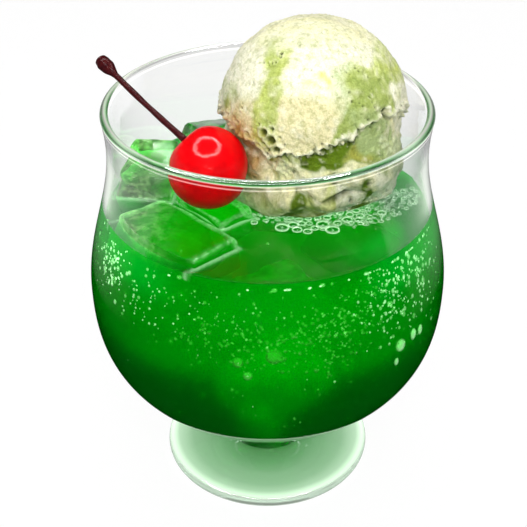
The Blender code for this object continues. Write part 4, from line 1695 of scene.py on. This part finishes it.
@dataclass(frozen=True)
class Fizz:
    """All bubbles under the drink's surface."""

    level: float
    swarms: tuple[Swarm, ...]
    goblet: Goblet = GOBLET
    seed: int = 81
    small_lean: float = 2.2
    film: float = 0.00006
    open_depth: Span = (0.001, 0.022)
    off_floor: float = 0.004
    off_surface: float = 0.0012
    # Painted highlights: each bubble glows green, and white where its painted highlight is strongest
    painted_highlight: Colour = (0.20, 0.32, 0.20)
    green_painted_highlight: Colour = (0.05, 0.34, 0.035)
    painted_highlight_size: float = 0.00030
    painted_highlight_fall: float = 1.5
    white_band: Span = (0.35, 1.0)
    large_from: float = 0.00072
    small_steps: tuple[int, int] = (7, 9)
    large_steps: tuple[int, int] = (17, 28)
    air: ClearSolid = ClearSolid(
        "bubble", 1.0 / SODA_INDEX, (0.0, 0.0, 0.0), painted_glow=True, touches_another=False
    )

    def places(self) -> tuple[np.ndarray, np.ndarray, np.ndarray]:
        """Draw each swarm's bubbles.

        Places are normally spread, sizes lean to the small end, and a bubble on the glass touches it.

        Returns:
            Centres, radii of three axes each, and the strength of each bubble's painted highlight.
        """
        draw = np.random.default_rng(self.seed)
        lowest = self.goblet.underside + self.goblet.floor + self.off_floor
        centres, sizes, highlight_strengths = [], [], []
        for swarm in self.swarms:
            azimuth = np.radians(draw.normal(swarm.azimuth, swarm.spread[0], swarm.count))
            height = draw.normal(swarm.height, swarm.spread[1], swarm.count)
            low, high = swarm.sizes
            size = low + (high - low) * draw.uniform(0.0, 1.0, swarm.count) ** self.small_lean
            depth = size + self.film
            if swarm.home is Home.OPEN:
                depth = depth + draw.uniform(*self.open_depth, swarm.count)
            height = np.clip(height, lowest, self.level - self.off_surface)
            reach = self.goblet.room_radius(height)
            centres.append(around(np.maximum(reach - depth, 0.001), azimuth, height))
            sizes.append(size[:, None] * np.array((1.0, 1.0, swarm.flat)))
            highlight_strengths.append(swarm.shine * np.minimum(self.painted_highlight_size / size, 1.0) ** self.painted_highlight_fall)
        return np.concatenate(centres), np.concatenate(sizes), np.concatenate(highlight_strengths)

    def build(self) -> bpy.types.Object:
        """Make the bubbles as spheres in one mesh, small ones of few faces, the strongest painted
        highlights white.
        """
        centres, sizes, highlight_strengths = self.places()
        green, white = np.array(self.green_painted_highlight), np.array(self.painted_highlight)
        glow = highlight_strengths[:, None] * (green + (white - green) * smoothstep(*self.white_band, highlight_strengths)[:, None])
        large = sizes[:, 0] > self.large_from
        points, colours, faces = np.empty((0, 3)), [], []
        for chosen, (rings, columns) in ((~large, self.small_steps), (large, self.large_steps)):
            tilt = np.linspace(0.0, math.pi, rings)[:, None]
            ball, ball_faces = closed_lattice(around(np.sin(tilt), full_turn(columns)[None], np.cos(tilt)))
            some, some_faces = repeat_shape(ball, ball_faces, centres[chosen], sizes[chosen])
            faces += [[corner + len(points) for corner in face] for face in some_faces]
            points = np.concatenate([points, some])
            colours.append(np.repeat(glow[chosen], len(ball), axis=0))
        thing = make_mesh("fizz", points, faces)
        paint_points(thing, PAINTED_LIGHT, np.concatenate(colours))
        return hand_over(thing, self.air.make(), "green_soda")


@dataclass(frozen=True)
class Foam:
    """Bubbles that float round the scoop, each a thin dome of drink.

    film is the dome's thickness at its top and its foot, in radii, with what is low given by foot_band.
    A band has its first and last azimuth, its count of tries, the least and the greatest radius, and its
    width. Two bubbles come no closer than the share apart of their radii together.
    """

    scoop: Scoop
    drink: Drink
    seed: int = 91
    small_lean: float = 1.6
    scoop_lean: float = 1.5
    apart: float = 0.92
    sunk: float = 0.25
    dome_angle: float = 96.0
    steps: tuple[int, int] = (7, 16)
    film: Span = (0.04, 0.15)
    foot_band: Span = (0.35, 0.0)
    # Painted highlight: a pale glow on each bubble's foot, fading up the dome
    painted_foot_highlight: Colour = (0.62, 0.66, 0.60)
    painted_highlight_band: Span = (0.28, 0.02)
    bands: tuple[Row, ...] = (
        (-112.0, -54.0, 260, 0.0009, 0.0019, 0.0066), (-66.0, -40.0, 80, 0.0007, 0.0015, 0.0060),
        (-136.0, -94.0, 110, 0.0003, 0.0010, 0.0045), (-100.0, -50.0, 160, 0.0003, 0.0008, 0.0070),
        (-70.0, -4.0, 700, 0.0002, 0.0008, 0.0090), (10.0, 190.0, 90, 0.0003, 0.0010, 0.0030),
    )
    finish: ClearSolid = ClearSolid(
        "foam_film", SODA_INDEX, (0.0, 0.0, 0.0), painted_glow=True, touches_another=False
    )

    def places(self) -> tuple[np.ndarray, np.ndarray]:
        """Draw the bubbles of each band, from azimuth to azimuth along the scoop's waterline.

        Returns:
            Centres on the drink's surface, and radii.
        """
        draw = np.random.default_rng(self.seed)
        azimuths, radii = self.scoop.waterline(self.drink.level)
        room = float(self.scoop.goblet.room_radius(np.array(self.drink.level)))
        kept: list[tuple[float, float, float]] = []
        for start, end, count, small, large, width in self.bands:
            for _ in range(count):
                size = small + (large - small) * draw.uniform() ** self.small_lean
                angle = draw.uniform(start, end)
                shore = np.interp(angle, azimuths, radii, period=360.0)
                away = shore + size + width * draw.uniform() ** self.scoop_lean
                x = self.scoop.centre[0] + away * math.cos(math.radians(angle))
                y = self.scoop.centre[1] + away * math.sin(math.radians(angle))
                clear = all(math.hypot(x - a, y - b) > self.apart * (size + c) for a, b, c in kept)
                if clear and math.hypot(x, y) + size < room:
                    kept.append((x, y, size))
        found = np.array(kept)
        heights = self.drink.surface_height(found[:, :2]) - self.sunk * found[:, 2]
        return np.column_stack([found[:, :2], heights]), found[:, 2]

    def build(self) -> bpy.types.Object:
        """Make each bubble as a shell, from its top to its thick foot with a painted highlight, and back up
        inside.
        """
        rows, columns = self.steps
        tilt = np.radians(np.linspace(0.0, self.dome_angle, rows))
        outer = np.stack([np.sin(tilt), np.cos(tilt)], 1)
        low = smoothstep(*self.foot_band, outer[:, 1])
        film = self.film[0] + (self.film[1] - self.film[0]) * low
        section = np.concatenate([outer, (outer * (1.0 - film[:, None]))[::-1]])
        section[0, 0] = section[-1, 0] = 0.0
        dome, faces = closed_lattice(around(section[:, :1], full_turn(columns)[None], section[:, 1:]))
        centres, sizes = self.places()
        thing = make_mesh("foam", *repeat_shape(dome, faces, centres, sizes))
        glow = smoothstep(*self.painted_highlight_band, dome[:, 2])[:, None] * np.array(self.painted_foot_highlight)
        paint_points(thing, PAINTED_LIGHT, np.tile(glow, (len(centres), 1)))
        return hand_over(thing, self.finish.make(), "green_soda")


# Room, light and camera


@dataclass(frozen=True)
class Studio:
    """A pale floor, a ring lamp overhead, a soft sky that is dark behind the camera, and the camera.

    Glows are radiances. The lamp is there twice: one that lights, and one that only glossy surfaces show.
    """

    camera_place: Place = (0.0, -0.24213, 0.22298)
    camera_tilt: float = 0.583
    lens: float = 72.49
    sensor: float = 36.0
    shift: float = -4.0 / 527.0
    clip: Span = (0.01, 20.0)
    bounces: int = 40
    diffuse_bounces: int = 5
    floor_half: float = 2.5
    floor_colour: Colour = (0.06, 0.06, 0.06)
    floor_glow: float = 0.93
    floor_gap: float = 0.00005
    wall_radius: float = 2.45
    wall_height: float = 0.5
    wall_glow: float = 0.90
    top_sky: float = 0.09
    back_sky: float = 0.85
    back_sky_depth: float = 0.6
    back_sky_rise: Span = (-0.50, -0.20)
    back_sky_fall: Span = (-0.02, 0.06)
    ring_height: float = 1.1
    ring_radii: Span = (0.57, 0.70)
    ring_middle: Span = (-0.11, -0.16)
    ring_steps: int = 96
    ring_glow: float = 7.0
    ring_gloss: float = 60.0
    ring_gap: float = 0.01
    card_centre: Place = (0.0, -1.05, 0.85)
    card_half: Span = (0.45, 0.38)
    card_glow: float = 8.8

    def add_floor(self) -> None:
        """Lay a square floor that surfaces don't mirror, because the sky stands for it there."""
        corners = self.floor_half * np.array([(-1, -1, 0), (1, -1, 0), (1, 1, 0), (-1, 1, 0)], float)
        floor = make_mesh("floor", corners, [[0, 1, 2, 3]])
        floor.data.materials.append(Matt("pale_floor", self.floor_colour, self.floor_glow).make())
        floor.visible_glossy = floor.visible_transmission = False
        # A second floor, seen only through glass, with a painted green shadow and painted shade
        lower = corners - np.array((0.0, 0.0, self.floor_gap))
        painted_shadow_floor = make_mesh("floor_through_glass", lower, [[0, 1, 2, 3]])
        painted_shadow_floor.data.materials.append(PaintedGreenShadow().make())
        painted_shadow_floor.visible_camera = painted_shadow_floor.visible_diffuse = False
        painted_shadow_floor.visible_glossy = painted_shadow_floor.visible_shadow = False

    def add_backdrop(self) -> None:
        """Stand a round pale wall at the floor's edge."""
        heights = np.array([[self.wall_height], [0.0]])
        rings = around(np.full((2, 1), self.wall_radius), full_turn(self.ring_steps)[None], heights)
        wall = make_mesh("backdrop", *open_band(rings))
        wall.data.materials.append(Matt("pale_backdrop", self.floor_colour, self.wall_glow).make())
        wall.visible_glossy = False

    def add_lamp(self, name: str, glow: float, height: float) -> bpy.types.Object:
        """Hang a flat ring lamp that shines down.

        Args:
            name: Name of the object.
            glow: Its radiance.
            height: Its height over the floor.

        Returns:
            The lamp.
        """
        radii = np.array(self.ring_radii)[:, None]
        rings = around(radii, full_turn(self.ring_steps)[None], np.zeros((2, 1)))
        lamp = make_mesh(name, *open_band(rings + np.array((*self.ring_middle, height))))
        lamp.data.materials.append(Matt(name, BLACK, glow).make())
        return lamp

    def add_card(self) -> None:
        """Stand a soft card behind the camera that lights what the glass encloses."""
        centre = np.array(self.card_centre)
        side, up = np.array((1.0, 0.0, 0.0)), np.cross((1.0, 0.0, 0.0), -centre / length(centre))
        signs = ((-1, -1), (1, -1), (1, 1), (-1, 1))
        corners = [centre + side * a * self.card_half[0] + up * b * self.card_half[1] for a, b in signs]
        card = make_mesh("card", np.array(corners), [[0, 1, 2, 3]])
        card.data.materials.append(Matt("card", BLACK, self.card_glow).make())
        card.visible_glossy = card.visible_camera = False

    def add_sky(self) -> None:
        """Give light from above, growing with height, and from behind, in a band below eye level."""
        world = bpy.data.worlds.new("soft_sky")
        bpy.context.scene.world = world
        board = NodeBoard(world)
        way = board.add("ShaderNodeTexCoord", {}).outputs["Generated"]
        parts = board.add("ShaderNodeSeparateXYZ", {"Vector": way})
        top = board.spread(parts.outputs["Z"], 0.0, 1.0, 0.0, self.top_sky)
        back = board.spread(parts.outputs["Y"], 0.0, self.back_sky_depth, 0.0, self.back_sky)
        rise = board.spread(parts.outputs["Z"], *self.back_sky_rise, 0.0, 1.0)
        fall = board.spread(parts.outputs["Z"], *self.back_sky_fall, 1.0, 0.0)
        for band in (rise, fall):
            back = board.maths("MULTIPLY", back, band)
        board.finish(board.add("ShaderNodeBackground", {"Strength": board.maths("ADD", top, back)}))

    def add_camera(self) -> None:
        """Set up the camera at the drinker's place."""
        scene = bpy.context.scene
        lens = bpy.data.cameras.new("camera")
        lens.lens, lens.sensor_width, lens.shift_x = self.lens, self.sensor, self.shift
        lens.clip_start, lens.clip_end = self.clip
        camera = bpy.data.objects.new("camera", lens)
        camera.location = self.camera_place
        camera.rotation_euler = (0.5 * math.pi - self.camera_tilt, 0.0, 0.0)
        scene.collection.objects.link(camera)
        scene.camera = camera

    def build(self) -> None:
        """Set up floor, lamps, sky, camera and how light is followed."""
        self.add_floor()
        self.add_backdrop()
        lit = self.add_lamp("lamp", self.ring_glow, self.ring_height)
        lit.visible_glossy = lit.visible_transmission = False
        shine = self.add_lamp("lamp_in_gloss", self.ring_gloss, self.ring_height + self.ring_gap)
        shine.visible_diffuse = shine.visible_transmission = shine.visible_shadow = False
        self.add_card()
        self.add_sky()
        self.add_camera()
        scene = bpy.context.scene
        scene.view_settings.view_transform = "Standard"
        scene.cycles.max_bounces = self.bounces
        scene.cycles.transmission_bounces = self.bounces
        scene.cycles.glossy_bounces = self.bounces
        scene.cycles.diffuse_bounces = self.diffuse_bounces


# The ice's painted light is broken up by a noise
ICE_FINISH = ClearSolid(
    "ice", ICE_INDEX, (100.0, 3.0, 110.0), painted_glow=True, glow_grain=520.0, roughness=0.13,
    ripple=0.00016, ripple_scale=600.0,
)
ICE_AFLOAT = (
    IceCube(
        "ice_by_left_wall", (0.0160, 0.0200, 0.0200), (-0.0315, 0.0108, 0.0802), (22, 0, -4), 3, 0.0004,
        "ice_left",
    ),
    IceCube(
        "ice_slab", (0.0300, 0.0210, 0.0150), (-0.0243, -0.0218, 0.0801), (3, 0, -47), 5, 0.0022,
        "ice_front",
    ),
    IceCube(
        "ice_under_cherry", (0.0200, 0.0100, 0.0150), (-0.0129, -0.0049, 0.0820), (14, 8, -48.7), 8, 0.0022,
        "ice_centre",
    ),
    IceCube(
        "ice_at_back", (0.0160, 0.0150, 0.0180), (-0.0155, 0.0302, 0.0814), (-9, 8, 28), 11, 0.0004,
        "ice_back",
    ),
)
ICE_SUNK = (
    # The low sunk cube has a painted pale green glow
    IceCube(
        "ice_sunk_low", (0.0190, 0.0160, 0.0120), (0.0020, -0.0080, 0.0390), (18, -12, 30), 13, 0.0006,
        melt=0.0026, rounding=0.0048, wave=0.0006, painted_sunk_light=(0.006, 0.270, 0.005),
    ),
    IceCube("ice_sunk_left", (0.018, 0.016, 0.016), (-0.0230, -0.0040, 0.0600), (24, 10, 12), 15, 0.0006),
    IceCube("ice_sunk_right", (0.017, 0.017, 0.015), (0.0210, -0.0110, 0.0690), (10, 28, 40), 17, 0.0006),
    IceCube("ice_sunk_back", (0.019, 0.017, 0.016), (0.0060, 0.0210, 0.0560), (-20, 14, 55), 19, 0.0006),
)
SWARMS = (
    Swarm(Home.WALL, -152.0, 0.0765, (6.0, 0.0036), 90, (0.00015, 0.00062), 1.2, 3.0),
    Swarm(Home.WALL, -130.0, 0.0750, (9.0, 0.0036), 60, (0.00012, 0.00045), 1.0, 1.3),
    Swarm(Home.WALL, -108.0, 0.0770, (10.0, 0.0034), 60, (0.00014, 0.00048), 1.0, 0.7),
    Swarm(Home.WALL, -96.0, 0.0700, (14.0, 0.0036), 120, (0.00020, 0.00060), 0.9, 0.40),
    Swarm(Home.WALL, -72.0, 0.0700, (10.0, 0.0044), 130, (0.00020, 0.00055), 0.9, 0.40),
    Swarm(Home.WALL, -66.0, 0.0750, (8.0, 0.0034), 110, (0.00014, 0.00040), 1.0, 0.55),
    Swarm(Home.WALL, -48.0, 0.0755, (7.0, 0.0050), 150, (0.00012, 0.00042), 1.2, 1.1),
    Swarm(Home.WALL, -34.0, 0.0770, (8.0, 0.0060), 130, (0.00015, 0.00055), 1.5, 1.6),
    Swarm(Home.WALL, -84.0, 0.0838, (26.0, 0.0006), 16, (0.00030, 0.00070), 0.7, 2.0),
    Swarm(Home.WALL, -90.0, 0.0500, (24.0, 0.0080), 26, (0.00015, 0.00045), 1.0, 0.5),
    Swarm(Home.WALL, -99.0, 0.0648, (0.1, 0.0001), 1, (0.00130, 0.00131), 1.0, 3.2),
    Swarm(Home.WALL, -88.0, 0.0661, (0.1, 0.0001), 1, (0.00200, 0.00201), 0.9, 5.5),
    Swarm(Home.WALL, -96.0, 0.0613, (0.1, 0.0001), 1, (0.00110, 0.00111), 1.0, 3.5),
    Swarm(Home.WALL, -44.0, 0.0600, (0.1, 0.0001), 1, (0.00140, 0.00141), 1.2, 16.0),
    Swarm(Home.WALL, -38.0, 0.0610, (0.1, 0.0001), 1, (0.00090, 0.00091), 1.8, 9.0),
    Swarm(Home.WALL, -34.0, 0.0605, (0.1, 0.0001), 1, (0.00080, 0.00081), 1.8, 8.0),
    Swarm(Home.WALL, -46.0, 0.0560, (0.1, 0.0001), 1, (0.00070, 0.00071), 1.6, 5.0),
    Swarm(Home.WALL, 90.0, 0.0720, (60.0, 0.0080), 330, (0.00012, 0.00050)),
    Swarm(Home.OPEN, -90.0, 0.0620, (60.0, 0.0120), 120, (0.00012, 0.00042)),
    Swarm(Home.OPEN, 90.0, 0.0600, (60.0, 0.0120), 90, (0.00012, 0.00042)),
)


def main() -> None:
    """Build the float piece by piece, then the room round it."""
    logging.basicConfig(level=logging.INFO, format="%(name)s %(message)s")
    scoop = Scoop()
    drink = Drink(scoop, ICE_AFLOAT, ICE_SUNK)
    GOBLET.build()
    scoop.build()
    cherry = Cherry()
    cherry.build_fruit()
    cherry.build_stalk()
    ice = ICE_FINISH.make()
    for cube in (*ICE_AFLOAT, *ICE_SUNK):
        cube.build(ice, drink.level + drink.climb_ice)
    drink.build()
    Fizz(drink.level, SWARMS).build()
    Foam(scoop, drink).build()
    Studio().build()


if __name__ == "__main__":
    main()
